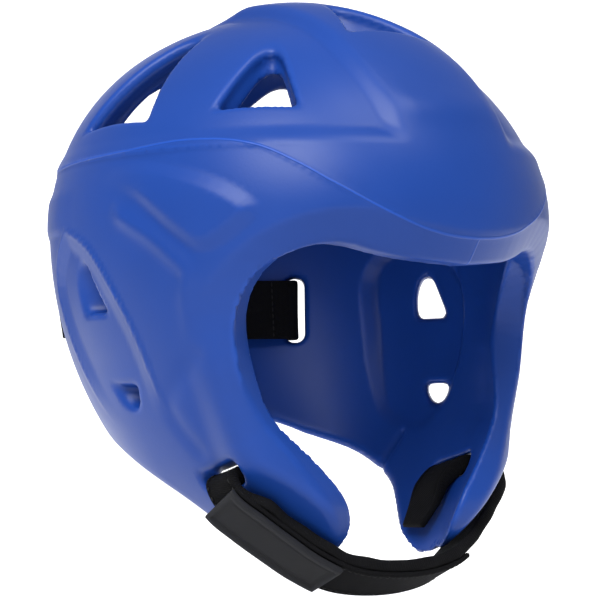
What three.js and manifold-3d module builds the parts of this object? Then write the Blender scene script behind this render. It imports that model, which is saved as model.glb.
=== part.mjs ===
import * as THREE from 'three';
import { ParametricGeometry } from 'three/addons/geometries/ParametricGeometry.js';
import { mergeVertices } from 'three/addons/utils/BufferGeometryUtils.js';
import Module from 'manifold-3d';

// Kickboxing headgear: a moulded foam shell with a padded chin strap and a rear strap.
// Millimetres, Z up, the face looks along -Y and +X is the wearer's left.
// Heights below are measured from the ear line. The finished part is moved down at the end,
// so that the place inside the crown where the head rests is the origin.

const wasm = await Module();
wasm.setup();
const { Manifold, Mesh } = wasm;

// Shell
const WIDEST_Z = 35;
const HALF_WIDTH = 107;
const FRONT_REACH = 124;
const REAR_REACH = 124;
const BAND_TOP = 138;
const CROWN_TOP = 131.5;
const CROWN_FRONT_STEP = 4.5;
const CROWN_REAR_STEP = 2;
const CROWN_SIDE_STEP = 0.3;
const WALL = 19;
const CROWN_WALL = 16.5;
const SEAT_Z = CROWN_TOP - CROWN_WALL;
const LIP_Z = 66;
const CROWN_TUCK = 3;
const PLAN_POWER = 2.05;
const UPPER_POWER_FRONT = 1.8;
const UPPER_POWER_REAR = 2.1;
const LOWER_POWER = 2;
// Towards the back the crown slopes more and the raised band sinks into it
const REAR_SLOPE = 0.42;
const REAR_SLOPE_SPAN = { from: 0.5, to: 0.95 };
const BAND_SINK = 4.5;
const BAND_SINK_SPAN = { from: 0, to: 0.6 };
const REAR_CONE = 0.3;
// The crown is slightly blunter than the band, and the hollow more so: the wall thins at the vents
const CROWN_BLUNT = 0.06;
const HOLLOW_BLUNT = 0.4;
const BOWL_SIDE = 156;
const BOWL_FRONT = 212;
const BOWL_REAR = 126;
// The hollow runs on below the rim, where the wall thins by this much
const BOWL_THIN = 1.5;

// Broad chamfer that leads into the face opening
const FLANGE_WIDTH = 18;
const FLANGE_DROP = 10;
const FLANGE_DROP_CHIN = 4;
const FLANGE_EVEN_Z = -40;
// The cheeks stand out in a soft ridge along the outer edge of that chamfer, which grows over
// these heights and distances towards the chin and the front
const CHEEK_RIDGE = 11;
const CHEEK_RIDGE_Z = { from: -55, to: 0 };
const CHEEK_RIDGE_Y = { from: -66, to: -38 };
const CHEEK_RIDGE_POWER = 4;

// Straps
const CHIN_WIDTH = 25;
const PAD_THICK = 5;
const WEB_THICK = 3;
const CHIN_CHAMFER = 0.7;
const CLOSURE_WIDTH = 24;
const CLOSURE_THICK = 2;
const CLOSURE_CHAMFER = 0.5;
const BADGE_WIDTH = 23;
const BADGE_THICK = 3;
const BADGE_BORDER = 2.4;
const BADGE_FLOOR_DROP = 0.9;
const BADGE_CHAMFER = 0.8;
const BADGE_FLOOR_CHAMFER = 0.3;
const REAR_WIDTH = 28;
const REAR_THICK = 2.5;
const REAR_CHAMFER = 0.5;
const REAR_LEAN = 0.17;
const GAP = 0.6;

// Slots that the straps pass through
const CHIN_SLOT_LENGTH = 30;
const CHIN_SLOT_HEIGHT = 10;
const CHIN_SLOT = { x: 66, y: -39, z: -78, rise: 0.25 };
// Flat on the outside of each cheek that the chin strap lies on: a point on it and its direction
const STRAP_FLAT = { at: [51, -55.5, -99], out: [0.653, -0.355, -0.664] };
const REAR_SLOT_LENGTH = 33;
const REAR_SLOT_WIDTH = 10;
const REAR_SLOT_ANGLE = 38;

// Grid steps of the formed surfaces
const BODY_STEPS = { around: 66, down: 30 };
const CROWN_STEPS = { around: 52, down: 26 };
const INNER_STEPS = { around: 38, down: 18 };
// Steps along the outlines and the straps
const FACE_STEPS = 44;
const RIM_STEPS = 36;
const BAND_STEPS = 30;
const CHIN_STEPS = 60;
const REAR_STEPS = 50;
const RECESS_STEPS = 6;
const PRISM_SEGMENTS = 6;

// Half outline of the face opening as seen from the front: distance from the centre, height
const FACE_OUTLINE = [
  { x: 0, z: 6 },
  { x: 28, z: 9 },
  { x: 54, z: 15.5 },
  { x: 71, z: 9.5 },
  { x: 77, z: -10 },
  { x: 73.5, z: -34 },
  { x: 66, z: -54 },
  { x: 49, z: -77 },
  { x: 39, z: -92 },
  { x: 35, z: -105 },
  { x: 38, z: -117 },
  { x: 48, z: -129 },
];

// Lower rim as seen from the side: distance behind the ear line, height
const RIM_OUTLINE = [
  { y: 150, z: -48 },
  { y: 84, z: -52 },
  { y: 55, z: -63 },
  { y: 30, z: -72 },
  { y: 5, z: -85 },
  { y: -10, z: -98 },
  { y: -22, z: -110 },
  { y: -36, z: -117 },
  { y: -52, z: -117 },
  { y: -68, z: -112 },
  { y: -82, z: -105 },
  { y: -150, z: -85 },
];

// Half width of the raised centre band from front to back
const BAND_OUTLINE = [
  { y: -140, half: 31 },
  { y: -105, half: 33 },
  { y: -80, half: 34 },
  { y: -34, half: 30 },
  { y: 20, half: 30 },
  { y: 90, half: 33 },
  { y: 140, half: 31 },
];

// Crown vents on the wearer's left, by their lower front, lower rear and top corners
const CROWN_VENTS = [
  { front: [61, -79, 77.5], rear: [82, -51, 77.5], top: [47, -47, 111] },
  { front: [94.5, -17, 76], rear: [93, 32, 76], top: [49, -4, 121] },
  { front: [78, 61, 78], rear: [16, 98, 80], top: [31, 48, 116] },
];
const CROWN_VENT_ROUND = 7;
// Vent in the middle of the raised band, by its two front corners and its rear corner
const BAND_VENT = { front: [21, -67, 118], rear: [-21, -67, 118], top: [0, -20, 136] };

// Ear vents as seen from the side: corners as distance behind the ear line and height
// where they pass the middle of the wall, and how far they slant to the rear on their way out
const EAR_VENTS = [
  { corners: [[2.5, -6], [24.5, -6], [25.5, 8], [19.5, 15.5], [14.5, 15.5]], round: 2.2 },
  { corners: [[0, -38], [18.5, -38], [14, -47.5], [5, -47.5]], round: 2.5 },
];
const EAR_VENT_SLANT = 1;

// Middle line of the chin strap on the wearer's left, from the folded end inside the cheek
// through the slot and down to the middle of the chin, with how far the strap's width
// climbs to the front, its width and its thickness
const CHIN_PATH = [
  { at: [38, -36, -104], rise: 0.25, width: 24, thick: WEB_THICK },
  { at: [44, -36.5, -95], rise: 0.25, width: 23, thick: WEB_THICK },
  { at: [49.5, -37.5, -85], rise: 0.25, width: 21, thick: WEB_THICK },
  { at: [57.5, -39, -78.4], rise: 0.25, width: 20, thick: WEB_THICK },
  { at: [67, -41, -78], rise: 0.25, width: 20, thick: WEB_THICK },
  { at: [75.5, -44.5, -80], rise: 0.3, width: 20, thick: WEB_THICK },
  { at: [75, -48.5, -86], rise: 0.45, width: 23, thick: 4 },
  { at: [66, -53, -94], rise: 0.5, width: CHIN_WIDTH, thick: PAD_THICK },
  { at: [55, -57, -102.5], rise: 0.48, width: CHIN_WIDTH, thick: PAD_THICK },
  { at: [43, -61, -111], rise: 0.45, width: CHIN_WIDTH, thick: PAD_THICK },
  { at: [27, -64.5, -118.5], rise: 0.45, width: CHIN_WIDTH, thick: PAD_THICK },
  { at: [0, -67, -121.5], rise: 0.45, width: CHIN_WIDTH, thick: PAD_THICK },
];
// Stretch of the strap, by share of its length, that carries the closure layer and the badge
const CLOSURE_SPAN = { from: 0.43, to: 0.712 };
// Share of the closure layer that the badge covers, at the wearer's right
const BADGE_SHARE = 0.56;

// Middle line of the rear strap on the wearer's left, from its folded end outside, in through
// the slot and along the inside towards the middle: the wall that it follows, the angle from
// straight behind in degrees and the distance off the wall's widest line
const REAR_PATH = [
  { wall: 'outer', angle: REAR_SLOT_ANGLE - 16, lift: -3.3 },
  { wall: 'outer', angle: REAR_SLOT_ANGLE - 8, lift: -3.3 },
  { wall: 'outer', angle: REAR_SLOT_ANGLE - 1.5, lift: -2.3 },
  { wall: 'outer', angle: REAR_SLOT_ANGLE, lift: -9 },
  { wall: 'inner', angle: REAR_SLOT_ANGLE, lift: 4 },
  { wall: 'inner', angle: REAR_SLOT_ANGLE - 0.5, lift: -6 },
  { wall: 'inner', angle: REAR_SLOT_ANGLE - 7, lift: -10 },
  { wall: 'inner', angle: REAR_SLOT_ANGLE - 25, lift: -10 },
];
// Shallow recess in the outside of the shell that the folded end lies in
const RECESS_PATH = [
  { wall: 'outer', angle: REAR_SLOT_ANGLE - 18, lift: -1.5 },
  { wall: 'outer', angle: REAR_SLOT_ANGLE - 8, lift: -1.5 },
  { wall: 'outer', angle: REAR_SLOT_ANGLE + 3, lift: -1.5 },
];
const RECESS_WIDTH = 31;
const RECESS_THICK = 7;

const clamp = THREE.MathUtils.clamp;
const smooth = (value, span) => THREE.MathUtils.smoothstep(value, span.from, span.to);

// Closed solids from three.js geometry

function solid(geometry) {
  const plain = geometry.clone();
  plain.deleteAttribute('normal');
  plain.deleteAttribute('uv');
  const welded = mergeVertices(plain, 1e-4);
  const index = [];
  for (let i = 0; i < welded.index.count; i += 3) {
    const corner = [0, 1, 2].map((k) => welded.index.getX(i + k));
    if (new Set(corner).size === 3) {
      index.push(...corner);
    }
  }
  const mesh = new Mesh({
    numProp: 3,
    vertProperties: new Float32Array(welded.attributes.position.array),
    triVerts: new Uint32Array(index),
  });
  const body = new Manifold(mesh);
  return body.volume() < 0 ? turned(mesh) : body;
}

function turned(mesh) {
  for (let i = 0; i < mesh.triVerts.length; i += 3) {
    [mesh.triVerts[i], mesh.triVerts[i + 1]] = [mesh.triVerts[i + 1], mesh.triVerts[i]];
  }
  return new Manifold(mesh);
}

function meshOf(name, body, slot, color, roughness) {
  const data = body.getMesh();
  const geometry = new THREE.BufferGeometry();
  geometry.setAttribute('position', new THREE.BufferAttribute(data.vertProperties, 3));
  geometry.setIndex(new THREE.BufferAttribute(data.triVerts, 1));
  geometry.translate(0, 0, -SEAT_Z);
  geometry.computeVertexNormals();
  const material = new THREE.MeshStandardMaterial({ name: slot, color, roughness });
  const mesh = new THREE.Mesh(geometry, material);
  mesh.name = name;
  return mesh;
}

// Formed surfaces: a rounded head shape, blunter than an ellipsoid and drawn in below

function radius(form, x, y, z) {
  const length = y < 0 ? form.front : form.rear;
  const bowlEnd = y < 0 ? BOWL_FRONT : BOWL_REAR;
  const across = (x / form.half) ** 2;
  const along = (y / length) ** 2;
  const share = along / (across + along + 1e-9);
  const bowl = Math.sqrt(BOWL_SIDE ** 2 * (1 - share) + bowlEnd ** 2 * share) + form.deeper;
  const plan = Math.abs(x / form.half) ** PLAN_POWER + Math.abs(y / length) ** PLAN_POWER;
  const ahead = (1 - y / Math.max(Math.hypot(x, y), 1e-9)) / 2;
  const back = y / Math.hypot(x, y, REAR_CONE * Math.hypot(x, y, z));
  const upper = THREE.MathUtils.lerp(UPPER_POWER_REAR, UPPER_POWER_FRONT, ahead)
    - REAR_SLOPE * smooth(back, REAR_SLOPE_SPAN) + form.blunt;
  const top = form.top - form.sink * smooth(back, BAND_SINK_SPAN);
  const power = z > 0 ? upper : LOWER_POWER;
  const tall = z > 0 ? top - WIDEST_Z : bowl;
  return 1 / (plan ** (power / PLAN_POWER) + Math.abs(z / tall) ** power) ** (1 / power);
}

function formed(form, steps, lowering) {
  const surface = new ParametricGeometry((u, v, target) => {
    const turn = 2 * Math.PI * u;
    const tip = Math.PI * v;
    const flat = v === 0 || v === 1 ? 0 : Math.sin(tip);
    const dir = [flat * Math.sin(turn), -flat * Math.cos(turn), Math.cos(tip)];
    const reach = radius(form, ...dir);
    const point = new THREE.Vector3(...dir).multiplyScalar(reach);
    point.z += WIDEST_Z;
    const drop = lowering(point);
    const inward = new THREE.Vector3(...dir).multiplyScalar(-drop);
    target.copy(point.add(inward));
  }, steps.around, steps.down);
  return solid(surface);
}

// Outlines

function spline(points) {
  return new THREE.SplineCurve(points.map((p) => new THREE.Vector2(...p)));
}

const facePoints = spline(FACE_OUTLINE.map((p) => [p.x, p.z])).getPoints(FACE_STEPS);

function faceDistance(x, z) {
  const here = new THREE.Vector2(Math.abs(x), z);
  const near = new THREE.Vector2();
  let best = Infinity;
  for (let i = 1; i < facePoints.length; i += 1) {
    const start = facePoints[i - 1];
    const step = facePoints[i].clone().sub(start);
    const t = clamp(here.clone().sub(start).dot(step) / step.lengthSq(), 0, 1);
    near.copy(start).addScaledVector(step, t);
    best = Math.min(best, near.distanceTo(here));
  }
  return best;
}

function flangeDrop(point) {
  if (point.y > 0 || point.z < FACE_OUTLINE.at(-1).z) {
    return 0;
  }
  const low = clamp((FLANGE_EVEN_Z - point.z) / (FLANGE_EVEN_Z - FACE_OUTLINE.at(-1).z), 0, 1);
  const drop = THREE.MathUtils.lerp(FLANGE_DROP, FLANGE_DROP_CHIN, low);
  const away = faceDistance(point.x, point.z) / FLANGE_WIDTH;
  const ahead = 1 - smooth(point.y, CHEEK_RIDGE_Y);
  const below = 1 - smooth(point.z, CHEEK_RIDGE_Z);
  const ridge = CHEEK_RIDGE * ahead * below * (away * Math.exp(1 - away)) ** CHEEK_RIDGE_POWER;
  return drop * clamp(1 - away, 0, 1) - ridge;
}

function rounded(corners, round) {
  const shape = new THREE.Shape();
  const points = corners.map((p) => new THREE.Vector2(...p));
  points.forEach((corner, i) => {
    const before = points.at(i - 1).clone().sub(corner).setLength(round).add(corner);
    const after = points[(i + 1) % points.length].clone().sub(corner).setLength(round).add(corner);
    if (i === 0) {
      shape.moveTo(before.x, before.y);
    } else {
      shape.lineTo(before.x, before.y);
    }
    shape.quadraticCurveTo(corner.x, corner.y, after.x, after.y);
  });
  shape.closePath();
  return shape;
}

// Prism of a shape drawn in the plane of two directions, centred on a point, and drawn out
// square to that plane or along a slant of its own
function prism(shape, at, right, up, depth, slant = null) {
  const settings = { depth, bevelEnabled: false, curveSegments: PRISM_SEGMENTS };
  const geometry = new THREE.ExtrudeGeometry(shape, settings);
  geometry.translate(0, 0, -depth / 2);
  const out = slant ?? right.clone().cross(up).normalize();
  const place = new THREE.Matrix4().makeBasis(right, up, out).setPosition(at);
  return solid(geometry.applyMatrix4(place));
}

function vec(list, side = 1) {
  return new THREE.Vector3(side * list[0], list[1], list[2]);
}

const X_AXIS = new THREE.Vector3(1, 0, 0);
const Y_AXIS = new THREE.Vector3(0, 1, 0);
const Z_AXIS = new THREE.Vector3(0, 0, 1);

// Cutters

function faceCutter() {
  const shape = new THREE.Shape();
  const low = FACE_OUTLINE.at(-1);
  shape.moveTo(low.x, 2 * low.z);
  const half = facePoints.slice().reverse();
  half.forEach((p) => shape.lineTo(p.x, p.y));
  half.slice(0, -1).reverse().forEach((p) => shape.lineTo(-p.x, p.y));
  shape.lineTo(-low.x, 2 * low.z);
  shape.closePath();
  return prism(shape, new THREE.Vector3(0, -FRONT_REACH, 0), X_AXIS, Z_AXIS, 2 * FRONT_REACH);
}

function rimCutter() {
  const curve = spline(RIM_OUTLINE.map((p) => [p.y, p.z])).getPoints(RIM_STEPS);
  const shape = new THREE.Shape();
  shape.moveTo(curve[0].x, -2 * BOWL_SIDE);
  curve.forEach((p) => shape.lineTo(p.x, p.y));
  shape.lineTo(curve.at(-1).x, -2 * BOWL_SIDE);
  shape.closePath();
  return prism(shape, new THREE.Vector3(), Y_AXIS, Z_AXIS, 4 * HALF_WIDTH);
}

function crownVent(vent, side) {
  const front = vec(vent.front, side);
  const rear = vec(vent.rear, side);
  const top = vec(vent.top, side);
  const right = rear.clone().sub(front).normalize();
  const rise = top.clone().sub(front);
  const out = right.clone().cross(rise).normalize();
  const up = out.clone().cross(right);
  const corners = [[0, 0], [rear.distanceTo(front), 0], [rise.dot(right), rise.dot(up)]];
  return prism(rounded(corners, CROWN_VENT_ROUND), front, right, up, 4 * WALL);
}

function earVent(vent, side) {
  const at = new THREE.Vector3(side * (HALF_WIDTH - WALL / 2), 0, 0);
  const slant = new THREE.Vector3(side, EAR_VENT_SLANT, 0);
  return prism(rounded(vent.corners, vent.round), at, Y_AXIS, Z_AXIS, 3 * WALL, slant);
}

function slotShape(length, height) {
  const l = length / 2;
  const h = height / 2;
  return rounded([[-l, -h], [l, -h], [l, h], [-l, h]], 0.45 * Math.min(length, height));
}

function chinSlot(side) {
  const at = new THREE.Vector3(side * CHIN_SLOT.x, CHIN_SLOT.y, CHIN_SLOT.z);
  const right = new THREE.Vector3(0, -1, CHIN_SLOT.rise).normalize();
  const up = right.clone().cross(X_AXIS);
  return prism(slotShape(CHIN_SLOT_LENGTH, CHIN_SLOT_HEIGHT), at, right, up, 4 * WALL);
}

function strapFlat(side) {
  const out = vec(STRAP_FLAT.out, side).normalize();
  const right = Y_AXIS.clone().cross(out).normalize();
  const up = out.clone().cross(right);
  const at = vec(STRAP_FLAT.at, side).addScaledVector(out, WALL);
  return prism(slotShape(5 * WALL, 5 * WALL), at, right, up, 2 * WALL);
}

function rearSlotPlace(side) {
  const turn = THREE.MathUtils.degToRad(REAR_SLOT_ANGLE);
  const out = new THREE.Vector3(side * Math.sin(turn), Math.cos(turn), 0);
  return { out, along: new THREE.Vector3(-out.y, out.x, 0) };
}

function rearSlot(side) {
  const { out, along } = rearSlotPlace(side);
  const at = out.clone().multiplyScalar(HALF_WIDTH);
  return prism(slotShape(REAR_SLOT_WIDTH, REAR_SLOT_LENGTH), at, along, Z_AXIS, 5 * WALL);
}

// Block wide enough for the whole shell, above or below a level
function block(level, side) {
  const size = 4 * HALF_WIDTH;
  const geometry = new THREE.BoxGeometry(size, size, size);
  geometry.translate(0, 0, level + side * size / 2);
  return solid(geometry);
}

function bandRegion() {
  const curve = spline(BAND_OUTLINE.map((p) => [p.half, p.y])).getPoints(BAND_STEPS);
  const shape = new THREE.Shape();
  curve.forEach((p, i) => (i ? shape.lineTo(p.x, p.y) : shape.moveTo(p.x, p.y)));
  curve.slice().reverse().forEach((p) => shape.lineTo(-p.x, p.y));
  shape.closePath();
  const band = prism(shape, new THREE.Vector3(0, 0, BAND_TOP), X_AXIS, Y_AXIS, 2 * BAND_TOP);
  return band.add(block(LIP_Z, -1));
}

// Shell

function buildShell() {
  const level = () => 0;
  const bodyForm = {
    half: HALF_WIDTH,
    front: FRONT_REACH,
    rear: REAR_REACH,
    top: BAND_TOP,
    sink: BAND_SINK,
    deeper: 0,
    blunt: 0,
  };
  const crownForm = {
    half: HALF_WIDTH - CROWN_SIDE_STEP,
    front: FRONT_REACH - CROWN_FRONT_STEP,
    rear: REAR_REACH - CROWN_REAR_STEP,
    top: CROWN_TOP,
    sink: 0,
    deeper: 0,
    blunt: CROWN_BLUNT,
  };
  const innerForm = {
    half: HALF_WIDTH - WALL,
    front: FRONT_REACH - WALL,
    rear: REAR_REACH - WALL,
    top: SEAT_Z,
    sink: 0,
    deeper: BOWL_THIN,
    blunt: HOLLOW_BLUNT,
  };
  const crown = formed(crownForm, CROWN_STEPS, level).intersect(block(LIP_Z - CROWN_TUCK, 1));
  const body = formed(bodyForm, BODY_STEPS, flangeDrop).intersect(bandRegion());
  let shell = body.add(crown).subtract(formed(innerForm, INNER_STEPS, level));
  shell = shell.subtract(faceCutter()).subtract(rimCutter());
  for (const side of [1, -1]) {
    CROWN_VENTS.forEach((vent) => {
      shell = shell.subtract(crownVent(vent, side));
    });
    EAR_VENTS.forEach((vent) => {
      shell = shell.subtract(earVent(vent, side));
    });
    shell = shell.subtract(chinSlot(side)).subtract(strapFlat(side));
    shell = shell.subtract(rearSlot(side)).subtract(rearRecess(side));
  }
  shell = shell.subtract(crownVent(BAND_VENT, 1));
  return shell;
}

// Straps: a ribbon with softened edges swept along rows of middle, across and out directions

function ribbon(rows, chamfer) {
  const ring = [];
  for (const [sx, sy] of [[1, 1], [-1, 1], [-1, -1], [1, -1]]) {
    const first = { across: sx, out: sy, trimAcross: 0, trimOut: 1 };
    const second = { across: sx, out: sy, trimAcross: 1, trimOut: 0 };
    ring.push(...(sx * sy > 0 ? [first, second] : [second, first]));
  }
  const total = rows.length + 1;
  const surface = new ParametricGeometry((u, v, target) => {
    const step = Math.round(u * total);
    const row = rows[clamp(step - 1, 0, rows.length - 1)];
    target.copy(row.at);
    if (step === 0 || step === total) {
      return;
    }
    const corner = ring[Math.round(v * ring.length) % ring.length];
    const across = corner.across * (row.width / 2 - corner.trimAcross * chamfer);
    const out = corner.out * (row.thick / 2 - corner.trimOut * chamfer);
    target.addScaledVector(row.across, across).addScaledVector(row.out, out);
  }, total, ring.length);
  return solid(surface);
}

function chinRows() {
  const left = CHIN_PATH;
  const right = CHIN_PATH.slice(0, -1).reverse();
  const points = [...left.map((p) => vec(p.at)), ...right.map((p) => vec(p.at, -1))];
  const columns = [...left, ...right];
  const curve = new THREE.CatmullRomCurve3(points, false, 'centripetal');
  const rows = [];
  for (let i = 0; i <= CHIN_STEPS; i += 1) {
    const t = i / CHIN_STEPS;
    const tangent = curve.getTangent(t);
    const k = t * (points.length - 1);
    const low = Math.min(Math.floor(k), points.length - 2);
    const between = (name) => THREE.MathUtils.lerp(columns[low][name], columns[low + 1][name], k - low);
    const across = new THREE.Vector3(0, -1, between('rise'));
    across.addScaledVector(tangent, -across.dot(tangent)).normalize();
    rows.push({
      at: curve.getPoint(t),
      across,
      out: across.clone().cross(tangent).normalize(),
      width: between('width'),
      thick: between('thick'),
    });
  }
  return rows;
}

// A layer that lies on the outer face of the chin strap
function layerRows(rows, from, to, width, thick) {
  const last = rows.length - 1;
  return rows.slice(Math.round(from * last), Math.round(to * last) + 1).map((row) => ({
    ...row,
    at: row.at.clone().addScaledVector(row.out, row.thick / 2 + GAP + thick / 2),
    width,
    thick,
  }));
}

function buildBadge(rows) {
  const outer = ribbon(rows, BADGE_CHAMFER);
  const floor = rows.slice(1, -1).map((row) => ({
    ...row,
    at: row.at.clone().addScaledVector(row.out, BADGE_THICK - BADGE_FLOOR_DROP),
    width: BADGE_WIDTH - 2 * BADGE_BORDER,
  }));
  return outer.subtract(ribbon(floor, BADGE_FLOOR_CHAMFER));
}

// Point at an angle from straight behind, off the widest line of the outer or inner wall
function wallPoint({ wall, angle, lift }) {
  const inset = wall === 'outer' ? 0 : WALL;
  const turn = THREE.MathUtils.degToRad(angle);
  const across = Math.sin(turn) / (HALF_WIDTH - inset);
  const along = Math.cos(turn) / (REAR_REACH - inset);
  const reach = 1 / (across ** PLAN_POWER + along ** PLAN_POWER) ** (1 / PLAN_POWER) + lift;
  return [reach * Math.sin(turn), reach * Math.cos(turn), 0];
}

// Rows of an upright strap along a level line of places
function levelRows(places, steps, width, thick) {
  const curve = new THREE.CatmullRomCurve3(places, false, 'centripetal');
  const rows = [];
  for (let i = 0; i <= steps; i += 1) {
    const tangent = curve.getTangent(i / steps);
    const at = curve.getPoint(i / steps);
    const lean = at.clone().setLength(REAR_LEAN).add(Z_AXIS);
    rows.push({
      at,
      across: lean.clone().addScaledVector(tangent, -lean.dot(tangent)).normalize(),
      out: lean.clone().cross(tangent).normalize(),
      width,
      thick,
    });
  }
  return rows;
}

function rearRows() {
  const half = REAR_PATH.map(wallPoint);
  const left = half.map((p) => vec(p));
  const right = half.reverse().map((p) => vec(p, -1));
  return levelRows([...left, ...right], REAR_STEPS, REAR_WIDTH, REAR_THICK);
}

function rearRecess(side) {
  const places = RECESS_PATH.map((p) => vec(wallPoint(p), side));
  return ribbon(levelRows(places, RECESS_STEPS, RECESS_WIDTH, RECESS_THICK), REAR_CHAMFER);
}

// Assembly

const strap = chinRows();
const closure = layerRows(strap, CLOSURE_SPAN.from, CLOSURE_SPAN.to, CLOSURE_WIDTH, CLOSURE_THICK);
const badge = layerRows(closure, 1 - BADGE_SHARE, 1, BADGE_WIDTH, BADGE_THICK);

const headgear = new THREE.Group();
headgear.name = 'kickboxing_headgear';
headgear.add(
  meshOf('shell', buildShell(), 'blue_foam', 0x2f4fae, 0.5),
  meshOf('chin_strap', ribbon(strap, CHIN_CHAMFER), 'black_webbing', 0x17171b, 0.85),
  meshOf('closure_strap', ribbon(closure, CLOSURE_CHAMFER), 'closure_webbing', 0x141417, 0.8),
  meshOf('strap_badge', buildBadge(badge), 'badge_rubber', 0x222328, 0.55),
  meshOf('rear_strap', ribbon(rearRows(), REAR_CHAMFER), 'rear_elastic', 0x151519, 0.85),
);

export default headgear;
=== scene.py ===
import math

import bpy
import numpy as np
from bpy.props import FloatProperty, FloatVectorProperty, PointerProperty
from mathutils import Matrix, Vector


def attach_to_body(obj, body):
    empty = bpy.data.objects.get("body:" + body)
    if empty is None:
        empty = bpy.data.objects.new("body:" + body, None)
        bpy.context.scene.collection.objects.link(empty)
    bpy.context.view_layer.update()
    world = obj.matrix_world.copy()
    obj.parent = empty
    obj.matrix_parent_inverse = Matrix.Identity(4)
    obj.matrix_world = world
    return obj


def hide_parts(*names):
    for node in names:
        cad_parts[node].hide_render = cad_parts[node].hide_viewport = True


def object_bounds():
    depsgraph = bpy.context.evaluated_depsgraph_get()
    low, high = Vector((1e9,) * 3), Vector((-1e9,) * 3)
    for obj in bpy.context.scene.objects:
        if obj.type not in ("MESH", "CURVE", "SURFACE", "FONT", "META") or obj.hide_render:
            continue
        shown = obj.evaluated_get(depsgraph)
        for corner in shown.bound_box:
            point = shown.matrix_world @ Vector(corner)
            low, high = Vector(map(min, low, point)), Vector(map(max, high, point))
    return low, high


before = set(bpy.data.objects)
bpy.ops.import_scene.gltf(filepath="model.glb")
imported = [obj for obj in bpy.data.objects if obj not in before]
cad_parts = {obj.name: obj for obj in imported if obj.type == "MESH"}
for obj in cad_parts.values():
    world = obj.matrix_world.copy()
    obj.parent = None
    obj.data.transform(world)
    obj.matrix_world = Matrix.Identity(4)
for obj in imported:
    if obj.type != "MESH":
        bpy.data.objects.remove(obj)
CAD_BOX = [list(corner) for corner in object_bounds()]

bl_info = {
    "name": "Kickboxing Headgear",
    "version": (1, 0, 0),
    "blender": (4, 5, 0),
    "location": "View3D > Sidebar > Headgear",
    "description": "Moulded foam headgear with a padded chin strap and a rear strap",
    "category": "Add Mesh",
}

# All shapes are worked out in millimetres, with heights measured from the ear line.
# The face looks along -Y and +X is the wearer's left. The finished meshes are in metres and
# start from the seat, the highest point of the hollow, as the frame does.
METRES = 0.001
SEAT_Z = 115.0

# Form of the shell
WIDEST_Z = 35.0
HALF_WIDTH = 107.0
FRONT_REACH = 124.0
REAR_REACH = 124.0
BAND_TOP = 138.0
CROWN_TOP = 131.5
CROWN_FRONT_STEP = 4.5
CROWN_REAR_STEP = 2.0
CROWN_SIDE_STEP = 0.3
CROWN_TUCK = 3.0
WALL = 19.0
LIP_Z = 66.0
PLAN_POWER = 2.05
UPPER_POWER_FRONT = 1.8
UPPER_POWER_REAR = 2.1
LOWER_POWER = 2.0
# Towards the back the crown slopes more and the raised band sinks into it
REAR_SLOPE = 0.42
REAR_SLOPE_SPAN = (0.5, 0.95)
BAND_SINK = 4.5
BAND_SINK_SPAN = (0.0, 0.6)
REAR_CONE = 0.3
# The crown is slightly blunter than the band, and the hollow more so: the wall thins at the vents
CROWN_BLUNT = 0.06
HOLLOW_BLUNT = 0.4
BOWL_SIDE = 156.0
BOWL_FRONT = 212.0
BOWL_REAR = 126.0
BOWL_THIN = 1.5

# Chamfer that leads into the face opening, and the soft ridge along it on the cheeks
FLANGE_WIDTH = 18.0
FLANGE_DROP = 10.0
FLANGE_DROP_CHIN = 4.0
FLANGE_EVEN_Z = -40.0
FLANGE_SOFT = 0.05
FLANGE_FADE_Y = (0.0, 20.0)
CHEEK_RIDGE = 12.0
CHEEK_RIDGE_Z = -55.0
CHEEK_RIDGE_Y = (-38.0, -66.0)
CHEEK_RIDGE_POWER = 4

# Half outline of the face opening as seen from the front: distance from the centre, height
FACE_OUTLINE = (
    (0, 6), (28, 9), (54, 15.5), (71, 9.5), (77, -10), (73.5, -34),
    (66, -54), (49, -77), (39, -92), (35, -105), (38, -117), (48, -129),
)
# Lower rim as seen from the side: distance behind the ear line, height
RIM_OUTLINE = (
    (150, -48), (84, -52), (55, -63), (30, -72), (5, -85), (-10, -98),
    (-22, -110), (-36, -117), (-52, -117), (-68, -112), (-82, -105), (-150, -85),
)
# Front edge of the cheeks as seen from the side: height, distance behind the ear line
CHEEK_EDGE = (
    (-112, -63), (-105, -71.7), (-95, -77), (-85, -77.7), (-70, -73.5), (-55, -66.7), (-40, -63),
    (-25, -61.7), (-12, -62.2), (-2, -64.5), (6, -68.5), (14, -74), (22, -80), (34, -92),
)
# How far that edge slants back on its way in, and how much the wall thins behind it, by height
EDGE_SLANT = ((-60, 0.2), (-40, 0.3), (-20, 0.55), (4, 0.7), (16, 1.0))
CHEEK_THIN = (
    (-85, 0.0), (-68, 3.0), (-55, 6.0), (-48, 6.0), (-40, 4.5), (-30, 2.0), (-20, 0.0),
)
CHEEK_THIN_Y = (25.0, 50.0)
CHEEK_TOP_Z = (6.0, 20.0)
EDGE_SPARE = 2.0
EDGE_BLEND = 3.0
# Half width of the raised centre band from front to back
BAND_OUTLINE = ((-140, 31), (-105, 33), (-80, 34), (-34, 30), (20, 30), (90, 33), (140, 31))
BAND_BLEND = 5.0
# Crown vents on one side and the vent in the band, by lower front, lower rear and top corners,
# and how far their edges draw back on the way in
CROWN_VENTS = (
    ((61, -79, 77.5), (82, -51, 77.5), (47, -47, 111), -2.4),
    ((94.5, -17, 76), (93, 32, 76), (49, -4, 121), 7.0),
    ((78, 61, 78), (16, 98, 80), (31, 48, 116), 0.0),
)
BAND_VENT = ((21, -67, 118), (-21, -67, 118), (0, -20, 136), -2.4)
VENT_DEPTH = (4.0, 12.0)
VENT_TOP_ROUND = 14.0
VENT_FOOT_ROUND = 4.0
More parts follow.
